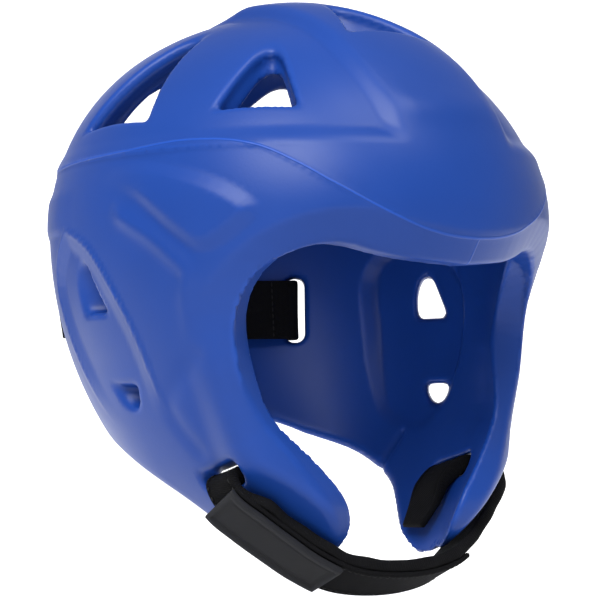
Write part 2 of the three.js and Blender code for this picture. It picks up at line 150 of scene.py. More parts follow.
# Ear vents as seen from the side where they pass the middle of the wall: distance behind the ear
# line, height; then their slant to the rear on the way out and the rounding of their corners
EAR_VENTS = (
    ((2.5, -6), (24.5, -6), (25.5, 8), (19.5, 15.5), (14.5, 15.5)),
    ((0, -38), (18.5, -38), (14, -47.5), (5, -47.5)),
)
EAR_VENT_SLANT = 1.0
EAR_VENT_ROUND = 5.0
# Slots for the straps, the flat under the chin strap and the recess for the rear strap's folded
# end: angles in degrees from straight behind
CHIN_SLOT = {"at": (66, -39, -78), "rise": 0.25, "length": 30.0, "height": 10.0}
STRAP_FLAT = {"at": (51, -55.5, -99), "out": (0.653, -0.355, -0.664)}
REAR_SLOT = {"angle": 38.0, "length": 33.0, "height": 10.0}
REAR_RECESS = {"angle": 30.5, "half": 10.5, "lift": -1.5, "width": 31.0, "thick": 7.0}

# Low relief on the side of the shell, as seen from the side: distance behind the ear line, height
SIDE_PAD = (
    (4, 52), (-10, 56), (-36, 54), (-62, 46), (-78, 35),
    (-71, 25), (-58, 19), (-46, 26), (-24, 42), (0, 49),
)
SIDE_RIB = ((-6, 38.5), (-20.5, 31), (-33, 24), (-43, 16), (-50, 8), (-47.5, -5), (-46.5, -28))
EAR_LEAF = (
    (38, 28), (26, 27.5), (9, 18), (-8, -4), (-16, -22), (-20, -44),
    (-20, -57), (0, -65), (24, -52), (43, -22), (53, 8),
)
CHEEK_FOLD = ((-47, -27), (-34, -37), (-24, -46), (-26, -56), (-32, -66))
# Pocket for the ear on the inside and the crease that runs from it to the rim
EAR_POCKET = (
    (47, 14), (43, -11), (35, -35), (21, -55), (-5, -61),
    (-20, -46), (-25, -20), (-18, 12), (8, 30), (36, 29),
)
POCKET_CREASE = ((7, -62), (15, -82))
# Mould parting line round the shell: angle from straight ahead in degrees, height
PARTING_LINE = (
    (0, 21.7), (10, 24), (18, 30), (31, 44.5), (38, 53),
    (47, 61), (60, 64.6), (84, 62.5), (118, 61), (180, 58),
)
# How the relief fades out: spans of distance from an outline (EDGE), of distance behind the ear line
# (Y), of distance from the middle (X), of height (Z), of share of a line (START, END) and of angle
# (TURN), and the widths of rounded lines
PAD_EDGE = (-4.5, 3.0)
PAD_FADE_Y = (-34.0, 2.0)
RIB_WIDTH = 4.2
RIB_START = (0.0, 0.12)
RIB_END = (0.75, 1.0)
LEAF_EDGE = (-9.0, 0.5)
LEAF_FADE_Z = (-58.0, -25.0)
LEAF_LIP = {"out": 1.0, "width": 1.6, "share": 0.35}
FOLD_WIDTH = 4.5
SIDE_RELIEF_X = (40.0, 55.0)
POCKET_EDGE = (-6.0, 1.0)
POCKET_FADE_Z = (-75.0, -5.0)
POCKET_X = (25.0, 45.0)
CREASE_WIDTH = 2.5
CREASE_SHARE = 0.3
BULGE_FOOT_Z = (28.0, 34.0)
BULGE_TOP_Z = (46.0, 52.0)
BULGE_TURN = (104.0, 116.0)
BROW_Z = 79.0
BROW_WIDTH = 8.0
BROW_AHEAD = (40.0, 80.0)
BROW_X = (20.0, 36.0)
PARTING_WIDTH = 1.3

# Meshing of the shell: how far from the plain outside the foam can lie, the value given to points
# beyond that, rounds that even out the points and rounds that only settle them, and the reach of
# the slopes used for settling, for the normals and for the bend
SHELL_REACH = 12.0
FAR_VALUE = 5.0
EVEN_ROUNDS = 4
SETTLE_ROUNDS = 2
EVEN_SHARE = 0.5
SETTLE_REACH = 0.4
NORMAL_REACH = 0.7
BEND_REACH = 2.0
NO_RECESS = 50.0

# Middle line of the chin strap on the wearer's left, from the folded end inside the cheek through
# the slot and down to the middle of the chin: place, climb of its width to the front, width,
# thickness
CHIN_WIDTH = 25.0
PAD_THICK = 5.0
WEB_THICK = 3.0
CHIN_PATH = (
    ((38, -36, -104), 0.25, 15, WEB_THICK),
    ((44, -36.5, -95), 0.25, 21, WEB_THICK),
    ((49.5, -37.5, -85), 0.25, 22, 5),
    ((57.5, -39, -78.4), 0.25, 23, 7),
    ((67, -41, -78), 0.25, 23, 7),
    ((75.5, -44.5, -80), 0.3, 17, 5),
    ((75, -48.5, -86), 0.45, 19, 4),
    ((66, -53, -94), 0.5, CHIN_WIDTH, PAD_THICK),
    ((55, -57, -102.5), 0.48, CHIN_WIDTH, PAD_THICK),
    ((43, -61, -111), 0.45, CHIN_WIDTH, PAD_THICK),
    ((27, -64.5, -118.5), 0.45, CHIN_WIDTH, PAD_THICK),
    ((0, -67, -121.5), 0.45, CHIN_WIDTH, PAD_THICK),
)
# Stretches of the strap, by share of its length, under the closure tape and under the badge
CLOSURE_SPAN = (0.4333, 0.731)
BADGE_SPAN = (0.562, 0.731)
CLOSURE_WIDTH = 24.0
CLOSURE_THICK = 2.0
BADGE_WIDTH = 23.0
BADGE_THICK = 3.0
LAYER_GAP = 0.6
# Seams of the straps: share of the half width, or share of the length for the rear strap
CHIN_SEAM = 0.8
CLOSURE_SEAM = 0.82
REAR_SEAMS = (0.285, 0.715)
SEAM_MARGIN = 6.0
CHIN_SEAM_MARGIN = 45.0
CROSS_MARGIN = 2.0
# One stitch: place along it, girth and rise of each ring, as shares of its length and radius
STITCH_SIDES = 6
STITCH_RINGS = (
    (-0.5, 0.35, -0.3), (-0.28, 0.9, 0.15), (0.0, 1.0, 0.3), (0.28, 0.9, 0.15), (0.5, 0.35, -0.3),
)
EDGE_STEPS = 6
# Middle line of the rear strap on the wearer's left: wall inset, angle from straight behind in
# degrees, distance off the wall's widest line
REAR_WIDTH = 30.0
REAR_THICK = 2.5
REAR_LEAN = 0.17
REAR_PATH = (
    (0.0, 22.0, -3.3), (0.0, 30.0, -3.3), (0.0, 36.5, -2.3), (0.0, 38.0, -9.0),
    (WALL, 38.0, 4.0), (WALL, 37.5, -6.0), (WALL, 31.0, -10.0), (WALL, 13.0, -10.0),
)

# Camera of the picture: turn round the object, height angle and roll in degrees, distance and
# sideways shift in millimetres from the ear line's middle, focal length for the sensor below
CAMERA_TURN = -38.5
CAMERA_HEIGHT = -2.5
CAMERA_ROLL = -0.6
CAMERA_DISTANCE = 1011.0
CAMERA_SHIFT = (1.8, 0.9)
CAMERA_SENSOR = 36.0
CAMERA_LENS = 131.3
# Floor in millimetres below the part, then in metres: inner rings of the flat, its reach, the bend
# up to the wall and the wall's height; spans, seen from the camera, over which its glow begins
# behind the object and ends to the sides
FLOOR_DROP = 12.0
FLOOR_RINGS = (0.05, 0.4, 1.0, 2.0)
FLOOR_FLAT = 3.2
FLOOR_BEND = 1.2
FLOOR_WALL = 2.2
FLOOR_SIDES = 96
FLOOR_BEND_STEPS = 12
GLOW_BEHIND = (-0.12, 0.08)
GLOW_ASIDE = (0.9, 2.2)
# Lights: setting that holds the power, turn and height angle in degrees, distance and size in metres
LIGHTS = (("key", -58.0, 42.0, 1.5, 1.0), ("fill", 8.0, 62.0, 1.6, 0.9))


# Small tools

def smooth_max(a, b, k):
    """Larger of two fields, with the edge between them rounded over k millimetres."""
    near = np.maximum(k - np.abs(a - b), 0.0) / k
    return np.maximum(a, b) + near * near * k / 4


def smooth_min(a, b, k):
    """Smaller of two fields, rounded in the same way."""
    return -smooth_max(-a, -b, k)


def ease(value, low, high):
    """0 below low, 1 above high, and a smooth way between."""
    t = np.clip((value - low) / (high - low), 0.0, 1.0)
    return t * t * (3 - 2 * t)


def swell(distance, width):
    """1 on a line, falling off on both sides."""
    return np.exp(-((distance / width) ** 2))


def smooth_curve(points, steps, closed=False):
    """Even samples of a curve through the points."""
    p = np.array(points, float)
    if closed:
        padded = np.vstack([p[-1], p, p[0], p[1]])
    else:
        padded = np.vstack([p[0], p, p[-1]])
    spans = len(padded) - 3
    t = np.linspace(0, spans, steps + 1)
    low = np.minimum(t.astype(int), spans - 1)
    t = (t - low)[:, None]
    a, b, c, d = (padded[low + i] for i in range(4))
    square = 2 * a - 5 * b + 4 * c - d
    cube = 3 * b - a - 3 * c + d
    return 0.5 * (2 * b + (c - a) * t + square * t**2 + cube * t**3)


def unit(vectors):
    """Rows of vectors, each drawn to length 1."""
    return vectors / np.linalg.norm(vectors, axis=1)[:, None]


def axis_distance(x, y, z, at, axis):
    """Distance of points from a place, along a direction."""
    return (x - at[0]) * axis[0] + (y - at[1]) * axis[1] + (z - at[2]) * axis[2]


def line_distance(u, v, line):
    """Distance of each point to a polyline, and the share of its length where it is nearest."""
    best = np.full(u.shape, 1e9)
    share = np.zeros(u.shape)
    for i in range(len(line) - 1):
        start, step = line[i], line[i + 1] - line[i]
        t = ((u - start[0]) * step[0] + (v - start[1]) * step[1]) / (step @ step)
        t = np.clip(t, 0.0, 1.0)
        gap = np.hypot(u - start[0] - t * step[0], v - start[1] - t * step[1])
        closer = gap < best
        best = np.where(closer, gap, best)
        share = np.where(closer, (i + t) / (len(line) - 1), share)
    return best, share


def loop_distance(u, v, loop):
    """Distance of each point to a closed outline, negative inside it."""
    inside = np.zeros(u.shape, bool)
    ends = np.roll(loop, -1, axis=0)
    for (u0, v0), (u1, v1) in zip(loop, ends):
        if v0 != v1:
            inside ^= ((v0 > v) != (v1 > v)) & (u < (u1 - u0) * (v - v0) / (v1 - v0) + u0)
    gap = line_distance(u, v, loop)[0]
    return np.where(inside, -gap, gap)


class Chart:
    """Values worked out once on a flat grid and read off between its points."""

    def __init__(self, function, low, high, step=0.5):
        axes = [np.arange(a, b + step, step) for a, b in zip(low, high)]
        self.low = low
        self.step = step
        self.values = function(*np.meshgrid(*axes, indexing="ij"))

    def __call__(self, u, v):
        rows, columns = self.values.shape
        s = np.clip((u - self.low[0]) / self.step, 0.0, rows - 1.001)
        t = np.clip((v - self.low[1]) / self.step, 0.0, columns - 1.001)
        i, j = s.astype(int), t.astype(int)
        s, t = s - i, t - j
        spot = i * columns + j
        flat = self.values.ravel()
        here = flat[spot] * (1 - t) + flat[spot + 1] * t
        there = flat[spot + columns] * (1 - t) + flat[spot + columns + 1] * t
        return here * (1 - s) + there * s


def corner_field(u, v, corners, rounding):
    """Distance to a convex outline given by its corners, with a rounding as each side joins."""
    c = np.array(corners, float)
    centre = c.mean(axis=0)
    field = None
    for start, end, k in zip(c, np.roll(c, -1, axis=0), rounding):
        normal = np.array([end[1] - start[1], start[0] - end[0]]) / np.hypot(*(end - start))
        if normal @ (centre - start) > 0:
            normal = -normal
        side = (u - start[0]) * normal[0] + (v - start[1]) * normal[1]
        field = side if field is None else smooth_max(field, side, k)
    return field


def slot_field(u, v, length, height):
    """Distance to a slot with round ends, the long side along u."""
    radius = 0.45 * min(length, height)
    a = np.abs(u) - length / 2 + radius
    b = np.abs(v) - height / 2 + radius
    outside = np.hypot(np.maximum(a, 0), np.maximum(b, 0))
    return outside + np.minimum(np.maximum(a, b), 0) - radius


# Shell

class Form:
    """A rounded head form, blunter than an ellipsoid and drawn in below its widest level."""

    def __init__(self, half, front, rear, top, sink=0.0, deeper=0.0, blunt=0.0):
        self.half = half
        self.front = front
        self.rear = rear
        self.top = top
        self.sink = sink
        self.deeper = deeper
        self.blunt = blunt

    def scale(self, x, y, z):
        """Size of each point against the form, 1 on its surface; z is from the widest level."""
        ahead = y < 0
        across = np.abs(x) / self.half
        along = np.abs(y) / np.where(ahead, self.front, self.rear)
        share = along**2 / (across**2 + along**2 + 1e-9)
        end = np.where(ahead, BOWL_FRONT, BOWL_REAR)
        bowl = np.sqrt(BOWL_SIDE**2 * (1 - share) + end**2 * share) + self.deeper
        plan = across**PLAN_POWER + along**PLAN_POWER
        flat = np.maximum(np.hypot(x, y), 1e-9)
        turn = (1 - y / flat) / 2
        back = y / np.hypot(flat, REAR_CONE * np.hypot(flat, z))
        upper = UPPER_POWER_REAR + (UPPER_POWER_FRONT - UPPER_POWER_REAR) * turn
        upper = upper - REAR_SLOPE * ease(back, *REAR_SLOPE_SPAN) + self.blunt
        top = self.top - self.sink * ease(back, *BAND_SINK_SPAN)
        power = np.where(z > 0, upper, LOWER_POWER)
        tall = np.where(z > 0, top - WIDEST_Z, bowl)
        return (plan ** (power / PLAN_POWER) + (np.abs(z) / tall) ** power) ** (1 / power)

    def distance(self, x, y, z):
        """Distance along the radius to the form, negative inside, and the size against it."""
        z = z - WIDEST_Z
        scale = np.maximum(self.scale(x, y, z), 1e-6)
        return np.sqrt(x * x + y * y + z * z) * (1 - 1 / scale), scale


BODY = Form(HALF_WIDTH, FRONT_REACH, REAR_REACH, BAND_TOP, sink=BAND_SINK)
CROWN = Form(
    HALF_WIDTH - CROWN_SIDE_STEP, FRONT_REACH - CROWN_FRONT_STEP, REAR_REACH - CROWN_REAR_STEP,
    CROWN_TOP, blunt=CROWN_BLUNT,
)
HOLLOW = Form(
    HALF_WIDTH - WALL, FRONT_REACH - WALL, REAR_REACH - WALL,
    SEAT_Z, deeper=BOWL_THIN, blunt=HOLLOW_BLUNT,
)

FACE_LINE = smooth_curve(FACE_OUTLINE, 44)
RIM_LINE = smooth_curve(RIM_OUTLINE, 40)
EDGE_CURVE = smooth_curve(CHEEK_EDGE, 60)
BAND_LINE = smooth_curve(BAND_OUTLINE, 30)
PAD_LOOP = smooth_curve(SIDE_PAD, 40, closed=True)
LEAF_LOOP = smooth_curve(EAR_LEAF, 44, closed=True)
POCKET_LOOP = smooth_curve(EAR_POCKET, 40, closed=True)
RIB_LINE = smooth_curve(SIDE_RIB, 24)
FOLD_LINE = smooth_curve(CHEEK_FOLD, 14)
PARTING_CURVE = smooth_curve(PARTING_LINE, 60)


def wall_reach(turn, inset):
    """Reach of the outside's widest line, or of one inset from it, by angle from straight behind."""
    across = np.abs(np.sin(turn)) / (HALF_WIDTH - inset)
    along = np.abs(np.cos(turn)) / (REAR_REACH - inset)
    return 1 / (across**PLAN_POWER + along**PLAN_POWER) ** (1 / PLAN_POWER)


def vent_field(x, y, z, vent, depth):
    """Distance to a three-cornered hole, by the depth below the outside where its edges draw back."""
    front, rear, top = (np.array(c, float) for c in vent[:3])
    right = (rear - front) / np.linalg.norm(rear - front)
    rise = top - front
    out = np.cross(right, rise)
    out = out / np.linalg.norm(out)
    up = np.cross(out, right)
    u, v, w = (axis_distance(x, y, z, front, axis) for axis in (right, up, out))
    corners = (np.linalg.norm(rear - front), 0.0), (rise @ right, rise @ up), (0.0, 0.0)
    flat = corner_field(u, v, corners, (VENT_TOP_ROUND, VENT_TOP_ROUND, VENT_FOOT_ROUND))
    return np.maximum(flat - vent[3] * ease(depth, *VENT_DEPTH), np.abs(w) - 2 * WALL)


def frame_field(x, y, z, at, right, up, length, height):
    """Distance to a slot square to the plane of two directions."""
    out = np.cross(right, up)
    u, v, w = (axis_distance(x, y, z, at, axis) for axis in (right, up, out))
    return np.maximum(slot_field(u, v, length, height), np.abs(w) - 2 * WALL)


class Shell:
    """The foam of the shell as a signed distance, negative in the foam."""

    def __init__(self, sizes):
        self.sizes = sizes
        self.face = Chart(self.face_gap, (0.0, -150.0), (130.0, 60.0))
        self.rim = Chart(self.rim_gap, (-150.0, -140.0), (150.0, -20.0))
        self.side = Chart(self.side_relief, (-100.0, -90.0), (80.0, 75.0))
        self.pocket = Chart(self.pocket_depth, (-45.0, -95.0), (65.0, 45.0))

    def face_gap(self, x, z):
        """Distance to the outline of the face opening as seen from the front, negative in it."""
        low = FACE_OUTLINE[-1]
        line = np.vstack([FACE_LINE, [(low[0], 2 * low[1])]])
        inside = loop_distance(x, z, np.vstack([line, [(0, 2 * low[1])]])) < 0
        gap = line_distance(x, z, line)[0]
        return np.where(inside, -gap, gap)

    def rim_gap(self, y, z):
        """Distance to the lower rim as seen from the side, negative below it."""
        gap = line_distance(y, z, RIM_LINE)[0]
        order = RIM_LINE[::-1]
        return np.where(z < np.interp(y, order[:, 0], order[:, 1]), -gap, gap)

    def side_relief(self, y, z):
        """Height of the pad, rib, leaf and fold on the side above the plain outside."""
        sizes = self.sizes
        pad = 1 - ease(loop_distance(y, z, PAD_LOOP), *PAD_EDGE)
        pad = pad * (1 - ease(y, *PAD_FADE_Y))
        gap, share = line_distance(y, z, RIB_LINE)
        rib = swell(gap, RIB_WIDTH) * (1 - ease(share, *RIB_END)) * ease(share, *RIB_START)
        leaf = loop_distance(y, z, LEAF_LOOP)
        lip = LEAF_LIP["share"] * swell(leaf - LEAF_LIP["out"], LEAF_LIP["width"])
        leaf = (lip - 1 + ease(leaf, *LEAF_EDGE)) * ease(z, *LEAF_FADE_Z)
        fold = swell(line_distance(y, z, FOLD_LINE)[0], FOLD_WIDTH)
        return sizes.pad * pad + sizes.rib * rib + sizes.leaf * leaf - sizes.fold * fold

    def pocket_depth(self, y, z):
        """Depth of the ear pocket and its crease below the plain inside."""
        pocket = loop_distance(y, z, POCKET_LOOP)
        depth = (1 - ease(pocket, *POCKET_EDGE)) * ease(z, *POCKET_FADE_Z)
        crease = line_distance(y, z, np.array(POCKET_CREASE, float))[0]
        return self.sizes.pocket * (depth + CREASE_SHARE * swell(crease, CREASE_WIDTH))

    def flange_drop(self, x, y, z):
        """How far the outside falls in towards the face opening, less the ridge on the cheeks."""
        low = np.clip((FLANGE_EVEN_Z - z) / (FLANGE_EVEN_Z - FACE_OUTLINE[-1][1]), 0.0, 1.0)
        drop = FLANGE_DROP + (FLANGE_DROP_CHIN - FLANGE_DROP) * low
        away = np.abs(self.face(x, z)) / FLANGE_WIDTH
        reach = 1 - away
        reach = (reach + np.hypot(reach, FLANGE_SOFT)) / 2
        ahead = ease(-y, -CHEEK_RIDGE_Y[0], -CHEEK_RIDGE_Y[1])
        below = ease(-z, 0.0, -CHEEK_RIDGE_Z)
        ridge = CHEEK_RIDGE * ahead * below * (away * np.exp(1 - away)) ** CHEEK_RIDGE_POWER
        return (drop * reach - ridge) * ease(-y, *FLANGE_FADE_Y)

    def relief(self, x, y, z):
        """Height of all moulded relief above the plain outside."""
        sizes = self.sizes
        height = self.side(y, z) * ease(x, *SIDE_RELIEF_X)
        turn = np.degrees(np.arctan2(x, -y))
        bulge = ease(z, *BULGE_FOOT_Z) * (1 - ease(z, *BULGE_TOP_Z)) * ease(turn, *BULGE_TURN)
        brow = swell(z - BROW_Z, BROW_WIDTH) * ease(-y, *BROW_AHEAD) * (1 - ease(x, *BROW_X))
        parting = swell(z - np.interp(turn, *PARTING_CURVE.T), PARTING_WIDTH)
        return height + sizes.bulge * bulge + sizes.brow * brow + sizes.parting * parting

    def cuts(self, x, y, z, side, outer):
        """The openings of the shell, each with the rounding of its edge."""
        sizes = self.sizes
        cheek = 1 - ease(z, *CHEEK_TOP_Z)
        face = self.face(x, z) - sizes.lip
        slant = np.interp(z, *np.transpose(EDGE_SLANT))
        ahead = (y - np.interp(z, *EDGE_CURVE.T) + slant * face) / np.hypot(1.0, slant)
        ahead = np.maximum(face - EDGE_SPARE * cheek, ahead)
        opening = smooth_min(face + sizes.edge * cheek, ahead, EDGE_BLEND)
        yield np.maximum(opening, y), sizes.face_edge
        yield self.rim(y, z), sizes.rim_edge
        for vent in CROWN_VENTS:
            yield vent_field(x, y, z, vent, -outer), sizes.vent_edge
        yield vent_field(side * x, y, z, BAND_VENT, -outer), sizes.vent_edge
        level = y - EAR_VENT_SLANT * (x - HALF_WIDTH + WALL / 2)
        for corners in EAR_VENTS:
            hole = corner_field(level, z, corners, (EAR_VENT_ROUND,) * len(corners))
            yield np.maximum(hole, HALF_WIDTH - 2 * WALL - x), sizes.vent_edge
        right = np.array((0.0, -1.0, CHIN_SLOT["rise"]))
        right = right / np.linalg.norm(right)
        up = np.cross(right, (1.0, 0.0, 0.0))
        size = CHIN_SLOT["length"], CHIN_SLOT["height"]
        yield frame_field(x, y, z, CHIN_SLOT["at"], right, up, *size), sizes.slot_edge
        yield -axis_distance(x, y, z, STRAP_FLAT["at"], STRAP_FLAT["out"]), sizes.slot_edge
        turn = math.radians(REAR_SLOT["angle"])
        out = np.array((math.sin(turn), math.cos(turn), 0.0))
        right, up = (0.0, 0.0, 1.0), (-out[1], out[0], 0.0)
        size = REAR_SLOT["length"], REAR_SLOT["height"]
        yield frame_field(x, y, z, out * HALF_WIDTH, right, up, *size), sizes.slot_edge
        yield self.rear_recess(x, y, z), sizes.slot_edge

    def rear_recess(self, x, y, z):
        """Distance to the shallow recess for the rear strap's folded end."""
        reach = np.hypot(x, y) - REAR_LEAN * z
        turn = np.arctan2(x, y)
        wall = wall_reach(turn, 0.0) + REAR_RECESS["lift"]
        along = np.abs(np.degrees(turn) - REAR_RECESS["angle"]) - REAR_RECESS["half"]
        deep = np.abs(reach - wall) - REAR_RECESS["thick"] / 2
        wide = np.abs(z) - REAR_RECESS["width"] / 2
        recess = np.maximum(np.maximum(deep, wide), along * np.radians(reach))
        return np.where(y > 0, recess, NO_RECESS)

    def __call__(self, points):
        """The signed distance at points, with all forms and openings joined."""
        sizes = self.sizes
        side = np.where(points[:, 0] < 0, -1.0, 1.0)
        x, y, z = np.abs(points[:, 0]), points[:, 1], points[:, 2]
        plain, scale = BODY.distance(x, y, z)
        on_z = (z - WIDEST_Z) / scale + WIDEST_Z
        body = plain + self.flange_drop(x / scale, y / scale, on_z) - self.relief(x, y, z)
        band = x - np.interp(y, *BAND_LINE.T)
        region = smooth_min(band, z - LIP_Z, BAND_BLEND)
        crown = np.maximum(CROWN.distance(x, y, z)[0], LIP_Z - CROWN_TUCK - z)
        outer = smooth_min(smooth_max(body, region, sizes.crest), crown, sizes.foot)
        thin = np.interp(z, *np.transpose(CHEEK_THIN)) * ease(-y, *CHEEK_THIN_Y)
        pocket = self.pocket(y, z) * ease(x, *POCKET_X)
        hollow = HOLLOW.distance(x, y, z)[0] - pocket - thin
        field = np.maximum(outer, -hollow)
        for opening, edge in self.cuts(x, y, z, side, outer):
            field = smooth_max(field, -opening, edge)
        return field

    def slope(self, points, reach):
        """Value, slope and bend of the field at points."""
        value = self(points)
        slope = np.zeros_like(points)
        total = -6 * value
        for axis in range(3):
            step = np.zeros(3)
            step[axis] = reach
            ahead = self(points + step)
            behind = self(points - step)
            slope[:, axis] = (ahead - behind) / (2 * reach)
            total = total + ahead + behind
        return value, slope, total / reach**2


def surface_net(values):
    """Points, in grid steps, and outward quads round the zero level of a grid of values."""
    solid = values < 0
    cells = tuple(n - 1 for n in values.shape)
    count = np.zeros(cells)
    total = np.zeros(cells + (3,))
    place = np.indices(values.shape).astype(float)
    for axis in range(3):
        here = [slice(None)] * 3
        there = [slice(None)] * 3
        here[axis] = slice(None, -1)
        there[axis] = slice(1, None)
        here, there = tuple(here), tuple(there)
        crossed = solid[here] != solid[there]
        gap = np.where(crossed, values[here] - values[there], 1.0)
        share = np.where(crossed, values[here] / gap, 0.0)
        spot = [place[k][here] + (share if k == axis else 0) for k in range(3)]
        others = [k for k in range(3) if k != axis]
        for first in (0, 1):
            for second in (0, 1):
                part = [slice(None)] * 3
                part[others[0]] = slice(first, first + cells[others[0]])
                part[others[1]] = slice(second, second + cells[others[1]])
                part = tuple(part)
                count += crossed[part]
                for k in range(3):
                    total[..., k] += spot[k][part] * crossed[part]
    used = count > 0
    index = np.full(cells, -1)
    index[used] = np.arange(used.sum())
    points = total[used] / count[used][:, None]
    quads = []
    for axis in range(3):
        first, second = (axis + 1) % 3, (axis + 2) % 3
        here = [slice(1, -1)] * 3
        here[axis] = slice(None, -1)
        there = list(here)
        there[axis] = slice(1, None)
        a, b = solid[tuple(here)], solid[tuple(there)]
        edge = np.argwhere(a != b)
        outward = a[a != b]
        base = edge.copy()
        base[:, first] += 1
        base[:, second] += 1
        ring = []
        for back_first, back_second in ((1, 1), (0, 1), (0, 0), (1, 0)):
            cell = base.copy()
            cell[:, first] -= back_first
            cell[:, second] -= back_second
            ring.append(index[cell[:, 0], cell[:, 1], cell[:, 2]])
        ring = np.stack(ring, axis=1)
        ring[~outward] = ring[~outward][:, ::-1]
        quads.append(ring)
    return points, np.vstack(quads)


def shell_mesh(sizes):
    """Points, quads, normals and bend of the foam shell."""
    shell = Shell(sizes)
    step = sizes.step
    margin = 3 * step
    low = np.array((-HALF_WIDTH, -FRONT_REACH, min(z for _, z in RIM_OUTLINE))) - margin
    high = np.array((HALF_WIDTH, REAR_REACH, BAND_TOP)) + margin
    axes = [np.arange(a, b, step) for a, b in zip(low, high)]
    grid = np.stack(np.meshgrid(*axes, indexing="ij"), axis=-1)
    shape = grid.shape[:3]
    grid = grid.reshape(-1, 3)
    rough = BODY.distance(np.abs(grid[:, 0]), grid[:, 1], grid[:, 2])[0]
    near = (rough > -WALL - SHELL_REACH) & (rough < SHELL_REACH)
    values = np.full(len(grid), FAR_VALUE)
    values[near] = shell(grid[near])
    points, quads = surface_net(values.reshape(shape))
    points = low + points * step
    ends = np.vstack([quads[:, [i, (i + 1) % 4]] for i in range(4)])
    links = np.bincount(ends[:, 0], minlength=len(points)).astype(float)
    for number in range(EVEN_ROUNDS + SETTLE_ROUNDS):
        value, slope, _ = shell.slope(points, SETTLE_REACH)
        length = np.maximum((slope * slope).sum(axis=1), 0.05)
        move = slope * (value / length)[:, None]
        points = points - np.clip(move, -step, step)
        if number < EVEN_ROUNDS:
            sums = [np.bincount(ends[:, 0], points[ends[:, 1], k], len(points)) for k in range(3)]
            drift = np.stack(sums, axis=1) / links[:, None] - points
            normal = slope / np.sqrt(length)[:, None]
            drift = drift - normal * (drift * normal).sum(axis=1)[:, None]
            points = points + EVEN_SHARE * drift
    slope = shell.slope(points, NORMAL_REACH)[1]
    bend = shell.slope(points, BEND_REACH)[2]
    normals = slope / np.maximum(np.linalg.norm(slope, axis=1), 1e-6)[:, None]
    return points, quads, normals, bend


# Straps

def strap_curve(points, shares):
    """Places and directions along a curve through the points, with no overshoot at tight bends."""
    p = np.array(points, float)
    p = np.vstack([2 * p[0] - p[1], p, 2 * p[-1] - p[-2]])
    k = np.asarray(shares) * (len(p) - 3)
    low = np.minimum(k.astype(int), len(p) - 4)
    t = (k - low)[:, None]
    a, b, c, d = (p[low + i] for i in range(4))
    spans = (b - a, c - b, d - c)
    ab, bc, cd = (np.sqrt(np.linalg.norm(span, axis=1))[:, None] for span in spans)
    leave = bc * ((b - a) / ab - (c - a) / (ab + bc) + (c - b) / bc)
    arrive = bc * ((c - b) / bc - (d - b) / (bc + cd) + (d - c) / cd)
    square = -3 * b + 3 * c - 2 * leave - arrive
    cube = 2 * b - 2 * c + leave + arrive
    place = b + leave * t + square * t**2 + cube * t**3
    tangent = leave + 2 * square * t + 3 * cube * t**2
    return place, unit(tangent)


def strap_rows(place, tangent, lean, width, thick):
    """Place, directions, sizes and distance run at each step along a strap."""
    across = unit(lean - tangent * (lean * tangent).sum(axis=1)[:, None])
    run = np.concatenate([[0.0], np.cumsum(np.linalg.norm(np.diff(place, axis=0), axis=1))])
    return {
        "at": place, "along": tangent, "across": across, "out": unit(np.cross(across, tangent)),
        "width": width, "thick": thick, "run": run,
    }


def chin_rows(start, end, count):
    """Rows of the chin strap between two shares of its length."""
    left = CHIN_PATH
    right = CHIN_PATH[-2::-1]
    points = [row[0] for row in left] + [(-x, y, z) for (x, y, z), *_ in right]
    columns = np.array([row[1:] for row in left + right], float)
    shares = np.linspace(start, end, count)
    place, tangent = strap_curve(points, shares)
    spot = shares * (len(points) - 1)
    climb, width, thick = (np.interp(spot, np.arange(len(points)), c) for c in columns.T)
    lean = np.stack([np.zeros(count), -np.ones(count), climb], axis=1)
    return strap_rows(place, tangent, lean, width, thick)


def layer_rows(span, count, lift, width, thick):
    """Rows of a layer that lies on the outer face of the chin strap."""
    rows = chin_rows(*span, count)
    place = rows["at"] + rows["out"] * (rows["thick"] / 2 + lift + thick / 2)[:, None]
    tangent = unit(np.gradient(place, axis=0))
    return strap_rows(place, tangent, rows["across"], np.full(count, width), np.full(count, thick))


def rear_rows(count):
    """Rows of the rear strap from its folded end on one side to the other."""
    half = []
    for inset, angle, lift in REAR_PATH:
        turn = math.radians(angle)
        reach = wall_reach(turn, inset) + lift
        half.append((reach * math.sin(turn), reach * math.cos(turn), 0.0))
    points = half + [(-x, y, z) for x, y, z in reversed(half)]
    place, tangent = strap_curve(points, np.linspace(0, 1, count))
    lean = unit(place) * REAR_LEAN + np.array((0.0, 0.0, 1.0))
    width, thick = np.full(count, REAR_WIDTH), np.full(count, REAR_THICK)
    return strap_rows(place, tangent, lean, width, thick)


def edge_samples(rounding, inner):
    """Places from -1 to 1 across a strap, closer together at its rounded edges."""
    bend = np.sort(1 - rounding * (1 - np.sin(np.linspace(0, math.pi / 2, EDGE_STEPS))))
    flat = np.linspace(0, 1 - rounding, inner)[:-1]
    side = np.concatenate([flat, bend])
    return np.concatenate([-side[:0:-1], side])


def rounded(gap, rounding):
    """Share of the full thickness at a distance from a rounded edge."""
    return np.sqrt(np.clip(1 - (1 - np.clip(gap / rounding, 0, 1)) ** 2, 0, 1))


